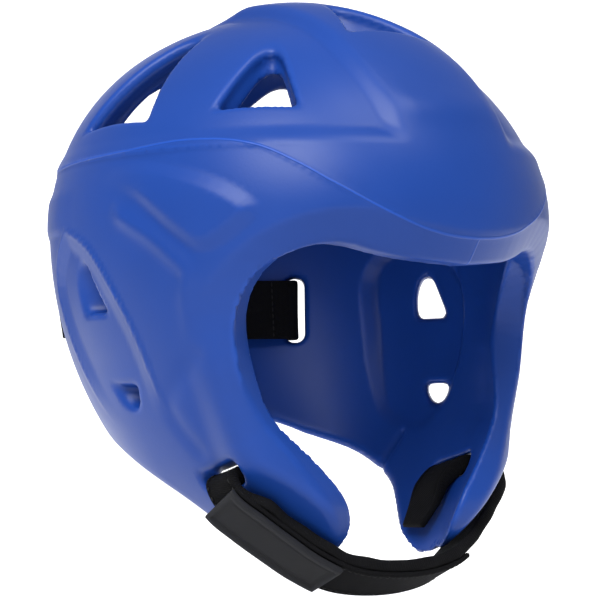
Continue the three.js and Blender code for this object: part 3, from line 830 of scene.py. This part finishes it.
def slab(rows, rounding, inner, relief, edge_wave=None):
    """Closed strap body: points, quads and the run and width places of each point."""
    run = rows["run"]
    side = edge_samples(2 * rounding / rows["width"].mean(), inner)
    n, m = len(run), len(side)
    half = rows["width"][:, None] / 2
    w = side[None, :] * half
    if edge_wave is not None:
        w = w + edge_wave(run)[:, None] * ease(w / half, 0.0, 1.0)
    end_gap = np.minimum(run - run[0], run[-1] - run)[:, None]
    side_gap = (1 - np.abs(side))[None, :] * half
    full = rounded(side_gap, rounding) * rounded(end_gap, rounding)
    thick = rows["thick"][:, None] / 2
    top = full * (thick + relief(run[:, None], side[None, :]))
    under = -full * thick
    base = rows["at"][:, None, :] + rows["across"][:, None, :] * w[..., None]
    upper = base + rows["out"][:, None, :] * top[..., None]
    lower = base + rows["out"][:, None, :] * under[..., None]
    index = np.arange(n * m).reshape(n, m)
    below = index.copy()
    below[1:-1, 1:-1] = n * m + np.arange((n - 2) * (m - 2)).reshape(n - 2, m - 2)
    points = np.vstack([upper.reshape(-1, 3), lower[1:-1, 1:-1].reshape(-1, 3)])
    a, b, c, d = index[:-1, :-1], index[1:, :-1], index[1:, 1:], index[:-1, 1:]
    tops = np.stack([a, d, c, b], axis=-1).reshape(-1, 4)
    a, b, c, d = below[:-1, :-1], below[1:, :-1], below[1:, 1:], below[:-1, 1:]
    unders = np.stack([a, b, c, d], axis=-1).reshape(-1, 4)
    grids = np.broadcast_to(run[:, None], (n, m)), w
    run_all, wide_all = (np.concatenate([g.ravel(), g[1:-1, 1:-1].ravel()]) for g in grids)
    return points, np.vstack([tops, unders]), run_all, wide_all


def stitch_line(rows, side, lift, sizes, margin):
    """Row of thread stitches along a strap at a share of its half width."""
    run = rows["run"]
    spots = np.arange(run[0] + margin, run[-1] - margin, sizes.pitch)

    def at(name):
        column = rows[name]
        if column.ndim == 1:
            return np.interp(spots, run, column)
        return np.stack([np.interp(spots, run, column[:, k]) for k in range(3)], axis=1)

    along, across, out = unit(at("along")), unit(at("across")), unit(at("out"))
    middle = at("at") + across * (side * at("width") / 2)[:, None]
    middle = middle + out * (at("thick") / 2 + lift)[:, None]
    return stitches(middle, along, across, out, sizes)


def cross_stitch(rows, spot, face, lift, sizes):
    """Row of thread stitches across a strap's outer face, 1, or inner face, -1."""
    row = np.argmin(np.abs(rows["run"] - spot))
    half = rows["width"][row] / 2 - CROSS_MARGIN
    shift = np.arange(-half, half, sizes.pitch)[:, None]
    middle = rows["at"][row] + rows["across"][row] * shift
    middle = middle + rows["out"][row] * face * (rows["thick"][row] / 2 + lift)
    axes = rows["across"], rows["along"], face * rows["out"]
    along, across, out = (np.tile(axis[row], (len(shift), 1)) for axis in axes)
    return stitches(middle, along, across, out, sizes)


def stitches(middle, along, across, out, sizes):
    """Small rounded thread stitches, one at each place."""
    sides = STITCH_SIDES
    points = []
    for place, thick, rise in STITCH_RINGS:
        centre = middle + along * place * sizes.stitch + out * rise * sizes.thread
        for k in range(sides):
            turn = 2 * math.pi * k / sides
            spoke = across * math.cos(turn) + out * math.sin(turn)
            points.append(centre + spoke * thick * sizes.thread)
    last = (len(STITCH_RINGS) - 1) * sides
    faces = [(0, 3, 2, 1), (0, 5, 4, 3)]
    faces += [(last, last + 1, last + 2, last + 3), (last, last + 3, last + 4, last + 5)]
    for a in range(0, last, sides):
        b = a + sides
        for k in range(sides):
            n = (k + 1) % sides
            faces.append((a + k, a + n, b + n, b + k))
    grid = np.stack(points, axis=1)
    starts = np.arange(len(middle)) * grid.shape[1]
    quads = starts[:, None, None] + np.array(faces)[None]
    return grid.reshape(-1, 3), quads.reshape(-1, 4)


# Meshes and objects

def join_bodies(bodies):
    """One set of points and faces from several, with the material number of each face."""
    points, faces, numbers = [], [], []
    start = 0
    for body_points, body_faces, number in bodies:
        points.append(body_points)
        faces.append(body_faces + start)
        numbers.append(np.full(len(body_faces), number))
        start += len(body_points)
    return np.vstack(points), np.vstack(faces), np.concatenate(numbers)


def make_piece(name, points, faces, materials, numbers=None, values=None, normals=None):
    """A mesh object in the frame from points in millimetres above the ear line."""
    mesh = bpy.data.meshes.new(name)
    placed = (points - np.array((0.0, 0.0, SEAT_Z))) * METRES
    mesh.from_pydata(placed.tolist(), [], faces.tolist())
    if mesh.validate():
        raise RuntimeError(name + " has bad faces")
    for material in materials:
        mesh.materials.append(material)
    mesh.polygons.foreach_set("use_smooth", np.ones(len(faces), bool))
    if numbers is not None:
        mesh.polygons.foreach_set("material_index", numbers.astype(np.int32))
    for label, column in (values or {}).items():
        attribute = mesh.attributes.new(label, "FLOAT", "POINT")
        attribute.data.foreach_set("value", column.astype(np.float32))
    mesh.update()
    if normals is not None:
        mesh.normals_split_custom_set_from_vertices(normals.tolist())
    piece = bpy.data.objects.new(name, mesh)
    bpy.context.scene.collection.objects.link(piece)
    return piece


def sewn_piece(name, body, seams, finish, sewing):
    """A woven strap and its seams of thread as one mesh object."""
    points, faces, run, wide = body
    place, quads, numbers = join_bodies([(points, faces, 0)] + [seam + (1,) for seam in seams])
    spare = np.zeros(len(place) - len(points))
    values = {"run": np.concatenate([run, spare]), "wide": np.concatenate([wide, spare])}
    return make_piece(name, place, quads, [finish, thread_finish(sewing)], numbers, values)


def attach(piece, node):
    """Ties a piece to the body and hides the solid that it stands for."""
    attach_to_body(piece, "root")
    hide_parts(node)


# Shader expressions

class Wire:
    """A shader value that takes part in Python arithmetic."""

    def __init__(self, shader, socket):
        self.shader = shader
        self.socket = socket

    def _math(self, operation, *values):
        node = self.shader.add("ShaderNodeMath", {"operation": operation}, dict(enumerate(values)))
        return Wire(self.shader, node.outputs[0])

    def __add__(self, other):
        return self._math("ADD", self, other)

    def __radd__(self, other):
        return self._math("ADD", other, self)

    def __sub__(self, other):
        return self._math("SUBTRACT", self, other)

    def __rsub__(self, other):
        return self._math("SUBTRACT", other, self)

    def __mul__(self, other):
        return self._math("MULTIPLY", self, other)

    def __rmul__(self, other):
        return self._math("MULTIPLY", other, self)

    def __truediv__(self, other):
        return self._math("DIVIDE", self, other)

    def __rtruediv__(self, other):
        return self._math("DIVIDE", other, self)

    def __pow__(self, other):
        return self._math("POWER", self, other)

    def __abs__(self):
        return self._math("ABSOLUTE", self)

    def sine(self):
        return self._math("SINE", self)

    def larger(self, other):
        return self._math("MAXIMUM", self, other)

    def between(self, low, high):
        """0 below low, 1 above high, and a smooth way between."""
        node = self.shader.add(
            "ShaderNodeMapRange", {"interpolation_type": "SMOOTHSTEP"},
            {0: self, 1: low, 2: high, 3: 0.0, 4: 1.0},
        )
        return Wire(self.shader, node.outputs[0])


class Finish:
    """A material being built: adds nodes and gives their outputs as wires."""

    def __init__(self, name):
        self.material = bpy.data.materials.new(name)
        self.material.use_nodes = True
        self.tree = self.material.node_tree
        self.surface = self.tree.nodes["Principled BSDF"]

    def add(self, kind, settings=None, inputs=None):
        """A node of a kind, with its settings made first and then its sockets filled or linked."""
        node = self.tree.nodes.new(kind)
        for name, value in (settings or {}).items():
            if name == "curve":
                self.set_curve(node, value)
            else:
                setattr(node, name, value)
        for name, value in (inputs or {}).items():
            self.fill(node.inputs[name], value)
        return node

    def fill(self, socket, value):
        """Links a socket to a wire or another socket, or sets its own value."""
        if isinstance(value, Wire):
            self.tree.links.new(value.socket, socket)
        elif isinstance(value, bpy.types.NodeSocket):
            self.tree.links.new(value, socket)
        else:
            socket.default_value = value

    def set_curve(self, node, points):
        """Puts the points of a curve node in place."""
        curve = node.mapping.curves[0]
        for place, value in points[1:-1]:
            curve.points.new(place, value)
        for point, (place, value) in zip(curve.points, points):
            point.location = (place, value)
        node.mapping.update()

    def wire(self, node, output=0):
        return Wire(self, node.outputs[output])

    def place(self):
        """Object coordinates in metres."""
        return self.add("ShaderNodeTexCoord").outputs["Object"]

    def axes(self):
        """Object coordinates as three wires."""
        node = self.add("ShaderNodeSeparateXYZ", None, {0: self.place()})
        return tuple(self.wire(node, k) for k in range(3))

    def value(self, name):
        """A value stored on the mesh."""
        return self.wire(self.add("ShaderNodeAttribute", {"attribute_name": name}), "Fac")

    def noise(self, scale, detail=2.0, roughness=0.5):
        """Soft noise in object space."""
        node = self.add(
            "ShaderNodeTexNoise", None,
            {"Vector": self.place(), "Scale": scale, "Detail": detail, "Roughness": roughness},
        )
        return self.wire(node, "Fac")

    def mix(self, factor, first, second):
        """A colour between two colours."""
        node = self.add("ShaderNodeMix", {"data_type": "RGBA"}, {0: factor, 6: first, 7: second})
        return node.outputs[2]

    def bump(self, height, distance, strength, below=None):
        """A normal raised by a height, on top of another normal if one is given."""
        inputs = {"Height": height, "Distance": distance, "Strength": strength}
        if below is not None:
            inputs["Normal"] = below
        return self.add("ShaderNodeBump", None, inputs).outputs["Normal"]

    def set(self, **values):
        """Fills the surface's sockets, with spaces in their names written as underscores."""
        for name, value in values.items():
            self.fill(self.surface.inputs[name.replace("_", " ")], value)
        return self.material


def shade(colour, factor):
    """A lighter or darker colour, with full alpha."""
    return tuple(min(c * factor, 1.0) for c in colour[:3]) + (1.0,)


def foam_finish(colour):
    """Dipped skin over moulded foam: soft gloss, faint orange peel, a mould parting line with a
    painted highlight, painted highlights on ridges and painted shade in creases.
    """
    finish = Finish("dipped_blue_foam")
    x, y, z = finish.axes()
    turn = finish.wire(finish.add("ShaderNodeMath", {"operation": "ARCTAN2"}, {0: abs(x), 1: 0.0 - y}))
    turn = turn / math.pi
    low, high = -150.0, 150.0
    points = [(a / 180, (h - low) / (high - low)) for a, h in PARTING_LINE]
    level = finish.wire(finish.add("ShaderNodeFloatCurve", {"curve": points}, {"Value": turn}))
    level = (level * (high - low) + low - SEAT_Z) * METRES
    outside = ((x * x + y * y) ** 0.5).between(0.098, 0.1)
    line = (1 - abs(z - level).between(0.0002, 0.0008)) * outside
    down = (1 - abs(x - 0.0015).between(0.0002, 0.0007)) * (y + 0.1).between(0.0, -0.001)
    down = down * (1 - (z - level).between(-0.0005, 0.0))
    down = down * (z + SEAT_Z * METRES).between(0.0, 0.006)
    # Mask of the mould parting line: painted lighter as a painted highlight, and raised by the bump
    # below
    seam = line.larger(down * 0.7)
    bend = finish.value("bend")
    # Painted highlight: ridges, found from the bend, get a lighter foam colour (and slightly lower
    # roughness)
    ridge = bend.between(0.12, 0.5)
    # Painted shade: creases, found from the bend, get a darker foam colour
    crease = (0 - bend).between(0.05, 0.3)
    cloud = finish.noise(9.0, 3.0)
    base = finish.mix(cloud.between(0.3, 0.7), shade(colour, 0.93), shade(colour, 1.07))
    # Painted highlight on the ridges
    base = finish.mix(ridge * 0.35, base, shade(colour, 1.6))
    # Painted shade in the creases
    base = finish.mix(crease * 0.35, base, shade(colour, 0.6))
    # Painted highlight along the parting line
    base = finish.mix(seam * 0.5, base, shade(colour, 1.9))
    smudge = finish.noise(38.0, 4.0, 0.6)
    rough = 0.34 + 0.1 * smudge - 0.05 * ridge
    peel = finish.noise(900.0, 1.5)
    normal = finish.bump(peel, 0.00012, 0.22)
    normal = finish.bump(seam, 0.0004, 0.6, normal)
    return finish.set(Base_Color=base, Roughness=rough, Normal=normal, Specular_IOR_Level=0.32)


def woven_finish(name, colour, rib, twill, fuzz):
    """Black narrow fabric: ribs across, a twill slant and a fuzz of fine fibres."""
    finish = Finish(name)
    run = finish.value("run")
    wide = finish.value("wide")
    warp = ((wide + twill * run) * (2 * math.pi / rib)).sine()
    weft = ((run - twill * wide) * (2 * math.pi / (rib * 0.8))).sine()
    weave = (warp * weft) * 0.5 + 0.5
    fibre = finish.noise(2600.0, 2.0, 0.7)
    wear = finish.noise(60.0, 4.0, 0.65)
    base = finish.mix(weave * 0.7, shade(colour, 0.65), shade(colour, 1.35))
    base = finish.mix(fibre.between(0.55, 0.75) * fuzz, base, shade(colour, 2.6))
    base = finish.mix(wear.between(0.52, 0.72) * 0.4, base, shade(colour, 1.7))
    normal = finish.bump(weave, 0.00035, 0.6)
    normal = finish.bump(fibre, 0.0002, 0.5, normal)
    rough = 0.72 + 0.2 * weave
    return finish.set(Base_Color=base, Roughness=rough, Normal=normal, Specular_IOR_Level=0.12)


def thread_finish(colour):
    """Twisted sewing thread."""
    finish = Finish("black_thread")
    strand = finish.noise(4000.0, 2.0)
    base = finish.mix(strand.between(0.35, 0.65), shade(colour, 0.8), shade(colour, 1.5))
    normal = finish.bump(strand, 0.0001, 0.6)
    rough = 0.55 + 0.2 * strand
    return finish.set(Base_Color=base, Roughness=rough, Normal=normal, Specular_IOR_Level=0.3)


def rubber_finish(colour):
    """Moulded rubber with a fine grain and scuffed high edges."""
    finish = Finish("badge_rubber")
    grain = finish.noise(1500.0, 3.0, 0.6)
    scuff = finish.noise(120.0, 5.0, 0.7)
    edge = finish.value("edge")
    base = finish.mix(scuff.between(0.45, 0.7) * 0.6, shade(colour, 0.85), shade(colour, 1.3))
    base = finish.mix(edge * 0.5, base, shade(colour, 2.0))
    rough = 0.46 + 0.22 * scuff
    normal = finish.bump(grain, 0.00012, 0.5)
    return finish.set(Base_Color=base, Roughness=rough, Normal=normal, Specular_IOR_Level=0.25)


def floor_finish(colour, glow):
    """Pale matt floor that is lit from within on the side behind the object."""
    finish = Finish("pale_floor")
    x, y, _ = finish.axes()
    turn = math.radians(CAMERA_TURN)
    behind = y * math.cos(turn) - x * math.sin(turn)
    speck = finish.noise(6.0, 3.0)
    base = finish.mix(speck, shade(colour, 0.98), shade(colour, 1.0))
    aside = abs(x * math.cos(turn) + y * math.sin(turn))
    lit = behind.between(*GLOW_BEHIND) * (1 - aside.between(*GLOW_ASIDE))
    light = finish.mix(lit, (0.0, 0.0, 0.0, 1.0), (1.0, 1.0, 1.0, 1.0))
    return finish.set(
        Base_Color=base, Roughness=0.9, Specular_IOR_Level=0.1,
        Emission_Color=light, Emission_Strength=glow,
    )


# Settings

def length(name, description, default):
    """A length setting in metres."""
    return FloatProperty(
        name=name, description=description, default=default, subtype="DISTANCE", unit="LENGTH",
    )


def colour(name, description, default):
    """A colour setting."""
    return FloatVectorProperty(
        name=name, description=description, default=default, subtype="COLOR", size=3, min=0.0, max=1.0,
    )


def strength(name, description, default, unit="NONE"):
    """A setting for how bright a light is."""
    return FloatProperty(name=name, description=description, default=default, min=0.0, unit=unit)


class HeadgearShell(bpy.types.PropertyGroup):
    """Relief, edges and colour of the foam shell"""

    step: length("Grid step", "Distance between the shell's points", 0.002)
    pad: length("Side pad", "Height of the raised pad on each side", 0.0022)
    rib: length("Side rib", "Height of the rib in front of the ear", 0.0015)
    leaf: length("Ear leaf", "Depth of the leaf-shaped hollow round the ear vents", 0.002)
    fold: length("Cheek fold", "Depth of the soft fold on the cheek", 0.0008)
    bulge: length("Rear bulge", "Height of the raised band at the back", 0.0011)
    parting: length("Parting ridge", "Height of the fine ridge along the mould's parting line", 0.0003)
    brow: length("Brow crest", "Height of the soft crest on the forehead", 0.0016)
    pocket: length("Ear pocket", "Depth of the pocket for the ear on the inside", 0.005)
    crest: length("Crest rounding", "Rounding of the raised band's upper edge", 0.006)
    foot: length("Foot rounding", "Rounding where the crown panels meet the band", 0.004)
    face_edge: length("Face edge", "Rounding of the face opening's edge", 0.0022)
    lip: length("Face lip", "How far the face opening's outer edge lies outside its outline", 0.0034)
    edge: length("Cheek edge", "Width of the cheeks' front edge that faces forward", 0.0105)
    rim_edge: length("Rim edge", "Rounding of the lower rim", 0.006)
    vent_edge: length("Vent edge", "Rounding of the vents' edges", 0.0035)
    slot_edge: length("Slot edge", "Rounding of the strap slots' edges", 0.003)
    foam: colour("Foam", "Colour of the dipped foam", (0.008, 0.052, 0.3))


class HeadgearStraps(bpy.types.PropertyGroup):
    """Stitching and colours of the straps"""

    pitch: length("Stitch pitch", "Distance between stitches", 0.0032)
    stitch: length("Stitch length", "Length of one stitch", 0.0024)
    thread: length("Thread", "Radius of the sewing thread", 0.00032)
    rim: length("Badge border", "Width of the badge's raised border", 0.0024)
    floor: length("Badge floor", "Depth of the badge's floor below its border", 0.0009)
    webbing: colour("Webbing", "Colour of the padded strap", (0.0045, 0.0045, 0.0055))
    tape: colour("Closure tape", "Colour of the closure tape", (0.004, 0.004, 0.005))
    rubber: colour("Badge", "Colour of the badge", (0.009, 0.0095, 0.012))
    sewing: colour("Thread colour", "Colour of the thread", (0.01, 0.01, 0.011))


class HeadgearStage(bpy.types.PropertyGroup):
    """Floor and lights"""

    floor: colour("Floor", "Colour of the floor", (0.9, 0.9, 0.9))
    glow: strength("Floor glow", "Light given off by the floor behind the object", 0.9)
    key: strength("Key light", "Power of the key light", 21.0, "POWER")
    fill: strength("Fill light", "Power of the fill light", 8.0, "POWER")
    sky: strength("Sky", "Strength of the even light all round", 0.31)


class Millimetres:
    """The lengths of a property group in millimetres."""

    def __init__(self, group):
        for name in group.__annotations__:
            value = getattr(group, name)
            if isinstance(value, float):
                setattr(self, name, value / METRES)


# Operators

def way_to(turn, height):
    """Direction from the object to a camera or lamp: turn from straight ahead and height angle."""
    a, e = math.radians(turn), math.radians(height)
    return Vector((math.sin(a) * math.cos(e), -math.cos(a) * math.cos(e), math.sin(e)))


class HEADGEAR_OT_shell(bpy.types.Operator):
    """Model the foam shell with its vents, slots and moulded relief"""

    bl_idname = "headgear.shell"
    bl_label = "Foam Shell"

    def execute(self, context):
        group = context.scene.headgear_shell
        sizes = Millimetres(group)
        points, quads, normals, bend = shell_mesh(sizes)
        finish = foam_finish(group.foam)
        values = {"bend": bend}
        piece = make_piece("foam_shell", points, quads, [finish], values=values, normals=normals)
        attach(piece, "shell")
        return {"FINISHED"}


class HEADGEAR_OT_chin_strap(bpy.types.Operator):
    """Model the padded chin strap with its bound edges and stitching"""

    bl_idname = "headgear.chin_strap"
    bl_label = "Chin Strap"

    def execute(self, context):
        group = context.scene.headgear_straps
        sizes = Millimetres(group)
        rows = chin_rows(0.0, 1.0, 330)

        def relief(run, side):
            padded = ease(rows["thick"][:, None], WEB_THICK, PAD_THICK)
            binding = ease(np.abs(side), 0.78, 0.84)
            groove = swell(np.abs(side) - 0.76, 0.04)
            crown = 0.5 * (1 - side * side)
            ripple = 0.12 * np.sin(run / 3.1) * np.sin(run / 7.3)
            return padded * (crown * 0.8 + 0.35 * binding - 0.5 * groove + ripple)

        def wave(run):
            return 0.5 * np.sin(run / 4.3) + 0.35 * np.sin(run / 2.7 + 1.0)

        body = slab(rows, rounding=1.1, inner=15, relief=relief, edge_wave=wave)
        seams = [
            stitch_line(rows, side, 0.25, sizes, CHIN_SEAM_MARGIN) for side in (CHIN_SEAM, -CHIN_SEAM)
        ]
        finish = woven_finish("padded_webbing", group.webbing, rib=1.1, twill=0.35, fuzz=0.5)
        piece = sewn_piece("padded_chin_strap", body, seams, finish, group.sewing)
        attach(piece, "chin_strap")
        return {"FINISHED"}


class HEADGEAR_OT_closure(bpy.types.Operator):
    """Model the closure tape that lies on the chin strap"""

    bl_idname = "headgear.closure"
    bl_label = "Closure Tape"

    def execute(self, context):
        group = context.scene.headgear_straps
        sizes = Millimetres(group)
        rows = layer_rows(CLOSURE_SPAN, 150, LAYER_GAP, CLOSURE_WIDTH, CLOSURE_THICK)

        def relief(run, side):
            edge = ease(np.abs(side), 0.86, 0.9)
            groove = swell(np.abs(side) - CLOSURE_SEAM, 0.035)
            return 0.25 * edge - 0.3 * groove

        body = slab(rows, rounding=0.8, inner=13, relief=relief)
        seams = [
            stitch_line(rows, side, 0.0, sizes, SEAM_MARGIN) for side in (CLOSURE_SEAM, -CLOSURE_SEAM)
        ]
        finish = woven_finish("closure_tape", group.tape, rib=0.8, twill=0.0, fuzz=0.8)
        piece = sewn_piece("closure_tape", body, seams, finish, group.sewing)
        attach(piece, "closure_strap")
        return {"FINISHED"}


class HEADGEAR_OT_badge(bpy.types.Operator):
    """Model the bare rubber badge with its raised border"""

    bl_idname = "headgear.badge"
    bl_label = "Strap Badge"

    def execute(self, context):
        group = context.scene.headgear_straps
        sizes = Millimetres(group)
        lift = LAYER_GAP + CLOSURE_THICK + LAYER_GAP
        rows = layer_rows(BADGE_SPAN, 110, lift, BADGE_WIDTH, BADGE_THICK)

        def inset(run, side):
            ends = np.minimum(run, rows["run"][-1] - run)
            return np.minimum((1 - np.abs(side)) * BADGE_WIDTH / 2, ends)

        def border(run, side):
            return 1 - ease(inset(run, side), sizes.rim - 0.4, sizes.rim + 0.4)

        def relief(run, side):
            line = swell(inset(run, side) - sizes.rim - 1.6, 0.35)
            return -sizes.floor * (1 - border(run, side)) - 0.25 * line

        points, faces, run, wide = slab(rows, rounding=0.7, inner=26, relief=relief)
        values = {"edge": border(run, 2 * wide / BADGE_WIDTH)}
        finish = rubber_finish(group.rubber)
        piece = make_piece("bare_strap_badge", points, faces, [finish], values=values)
        attach(piece, "strap_badge")
        return {"FINISHED"}


class HEADGEAR_OT_rear_strap(bpy.types.Operator):
    """Model the flat rear strap with its sewn ends"""

    bl_idname = "headgear.rear_strap"
    bl_label = "Rear Strap"

    def execute(self, context):
        group = context.scene.headgear_straps
        sizes = Millimetres(group)
        rows = rear_rows(300)

        def relief(run, side):
            rib = 0.15 * np.sin(run * 2 * math.pi / 2.4)
            return rib * (1 - ease(np.abs(side), 0.86, 0.96))

        body = slab(rows, rounding=0.8, inner=13, relief=relief)
        seams = [
            cross_stitch(rows, share * rows["run"][-1], face, 0.1, sizes)
            for share in REAR_SEAMS for face in (1.0, -1.0)
        ]
        finish = woven_finish("rear_elastic", group.webbing, rib=1.2, twill=0.0, fuzz=0.4)
        piece = sewn_piece("rear_elastic_strap", body, seams, finish, group.sewing)
        attach(piece, "rear_strap")
        return {"FINISHED"}


class HEADGEAR_OT_stage(bpy.types.Operator):
    """Set the floor, the lights and the camera"""

    bl_idname = "headgear.stage"
    bl_label = "Stage"

    def execute(self, context):
        group = context.scene.headgear_stage
        self.floor(group)
        self.lights(context, group)
        self.camera(context)
        context.scene.view_settings.view_transform = "Standard"
        return {"FINISHED"}

    def floor(self, group):
        """A round floor that sweeps up into a wall all the way round."""
        level = CAD_BOX[0][2] - FLOOR_DROP * METRES
        profile = [(r, 0.0) for r in FLOOR_RINGS + (FLOOR_FLAT,)]
        for i in range(1, FLOOR_BEND_STEPS + 1):
            turn = math.pi / 2 * i / FLOOR_BEND_STEPS
            height = FLOOR_BEND * (1 - math.cos(turn))
            profile.append((FLOOR_FLAT + FLOOR_BEND * math.sin(turn), height))
        profile.append((FLOOR_FLAT + FLOOR_BEND, FLOOR_WALL))
        sides = FLOOR_SIDES
        points = [(0.0, 0.0, level)]
        for r, height in profile:
            for k in range(sides):
                turn = 2 * math.pi * k / sides
                points.append((r * math.cos(turn), r * math.sin(turn), level + height))
        faces = [(0, 1 + k, 1 + (k + 1) % sides) for k in range(sides)]
        for i in range(len(profile) - 1):
            a, b = 1 + i * sides, 1 + (i + 1) * sides
            for k in range(sides):
                n = (k + 1) % sides
                faces.append((a + k, b + k, b + n, a + n))
        mesh = bpy.data.meshes.new("pale_floor")
        mesh.from_pydata(points, [], faces)
        mesh.polygons.foreach_set("use_smooth", [True] * len(faces))
        mesh.materials.append(floor_finish(group.floor, group.glow))
        floor = bpy.data.objects.new("pale_floor", mesh)
        bpy.context.scene.collection.objects.link(floor)

    def lights(self, context, group):
        """Two round lamps and an even sky."""
        middle = (Vector(CAD_BOX[0]) + Vector(CAD_BOX[1])) / 2
        for name, turn, height, distance, size in LIGHTS:
            back = way_to(turn, height)
            light = bpy.data.lights.new(name + "_light", "AREA")
            light.shape = "DISK"
            light.size = size
            light.energy = getattr(group, name)
            lamp = bpy.data.objects.new(name + "_light", light)
            lamp.location = middle + back * distance
            lamp.rotation_mode = "QUATERNION"
            lamp.rotation_quaternion = (-back).to_track_quat("-Z", "Y")
            context.scene.collection.objects.link(lamp)
        world = bpy.data.worlds.new("even_sky")
        world.use_nodes = True
        sky = world.node_tree.nodes["Background"].inputs
        sky["Color"].default_value = (1.0, 1.0, 1.0, 1.0)
        sky["Strength"].default_value = group.sky
        context.scene.world = world

    def camera(self, context):
        """The camera that sees the object as the picture does."""
        turn, roll = math.radians(CAMERA_TURN), math.radians(CAMERA_ROLL)
        back = way_to(CAMERA_TURN, CAMERA_HEIGHT)
        right = Vector((math.cos(turn), math.sin(turn), 0.0))
        up = back.cross(right)
        rolled_right = right * math.cos(roll) + up * math.sin(roll)
        rolled_up = up * math.cos(roll) - right * math.sin(roll)
        place = rolled_right * CAMERA_SHIFT[0] + rolled_up * CAMERA_SHIFT[1]
        place = back * CAMERA_DISTANCE + place
        place = (place - Vector((0.0, 0.0, SEAT_Z))) * METRES
        data = bpy.data.cameras.new("camera")
        data.sensor_width = CAMERA_SENSOR
        data.lens = CAMERA_LENS
        camera = bpy.data.objects.new("camera", data)
        facing = Matrix((rolled_right, rolled_up, back)).transposed()
        camera.matrix_world = Matrix.Translation(place) @ facing.to_4x4()
        context.scene.collection.objects.link(camera)
        context.scene.camera = camera


class HEADGEAR_PT_panel(bpy.types.Panel):
    """Headgear pieces and their settings"""

    bl_idname = "HEADGEAR_PT_panel"
    bl_label = "Kickboxing Headgear"
    bl_space_type = "VIEW_3D"
    bl_region_type = "UI"
    bl_category = "Headgear"

    def draw(self, context):
        layout = self.layout
        for group, operators in PANEL_ROWS:
            box = layout.box()
            settings = getattr(context.scene, group)
            for name in settings.__annotations__:
                box.prop(settings, name)
            for operator in operators:
                box.operator(operator)


PANEL_ROWS = (
    ("headgear_shell", ("headgear.shell",)),
    (
        "headgear_straps",
        ("headgear.chin_strap", "headgear.closure", "headgear.badge", "headgear.rear_strap"),
    ),
    ("headgear_stage", ("headgear.stage",)),
)
GROUPS = {
    "headgear_shell": HeadgearShell,
    "headgear_straps": HeadgearStraps,
    "headgear_stage": HeadgearStage,
}
CLASSES = (
    HeadgearShell, HeadgearStraps, HeadgearStage,
    HEADGEAR_OT_shell, HEADGEAR_OT_chin_strap, HEADGEAR_OT_closure, HEADGEAR_OT_badge,
    HEADGEAR_OT_rear_strap, HEADGEAR_OT_stage, HEADGEAR_PT_panel,
)


def register():
    for item in CLASSES:
        bpy.utils.register_class(item)
    for name, group in GROUPS.items():
        setattr(bpy.types.Scene, name, PointerProperty(type=group))


def unregister():
    for name in GROUPS:
        delattr(bpy.types.Scene, name)
    for item in reversed(CLASSES):
        bpy.utils.unregister_class(item)


def main():
    """Builds the stage and every piece."""
    register()
    bpy.ops.headgear.stage()
    bpy.ops.headgear.shell()
    bpy.ops.headgear.chin_strap()
    bpy.ops.headgear.closure()
    bpy.ops.headgear.badge()
    bpy.ops.headgear.rear_strap()


if __name__ == "__main__":
    main()
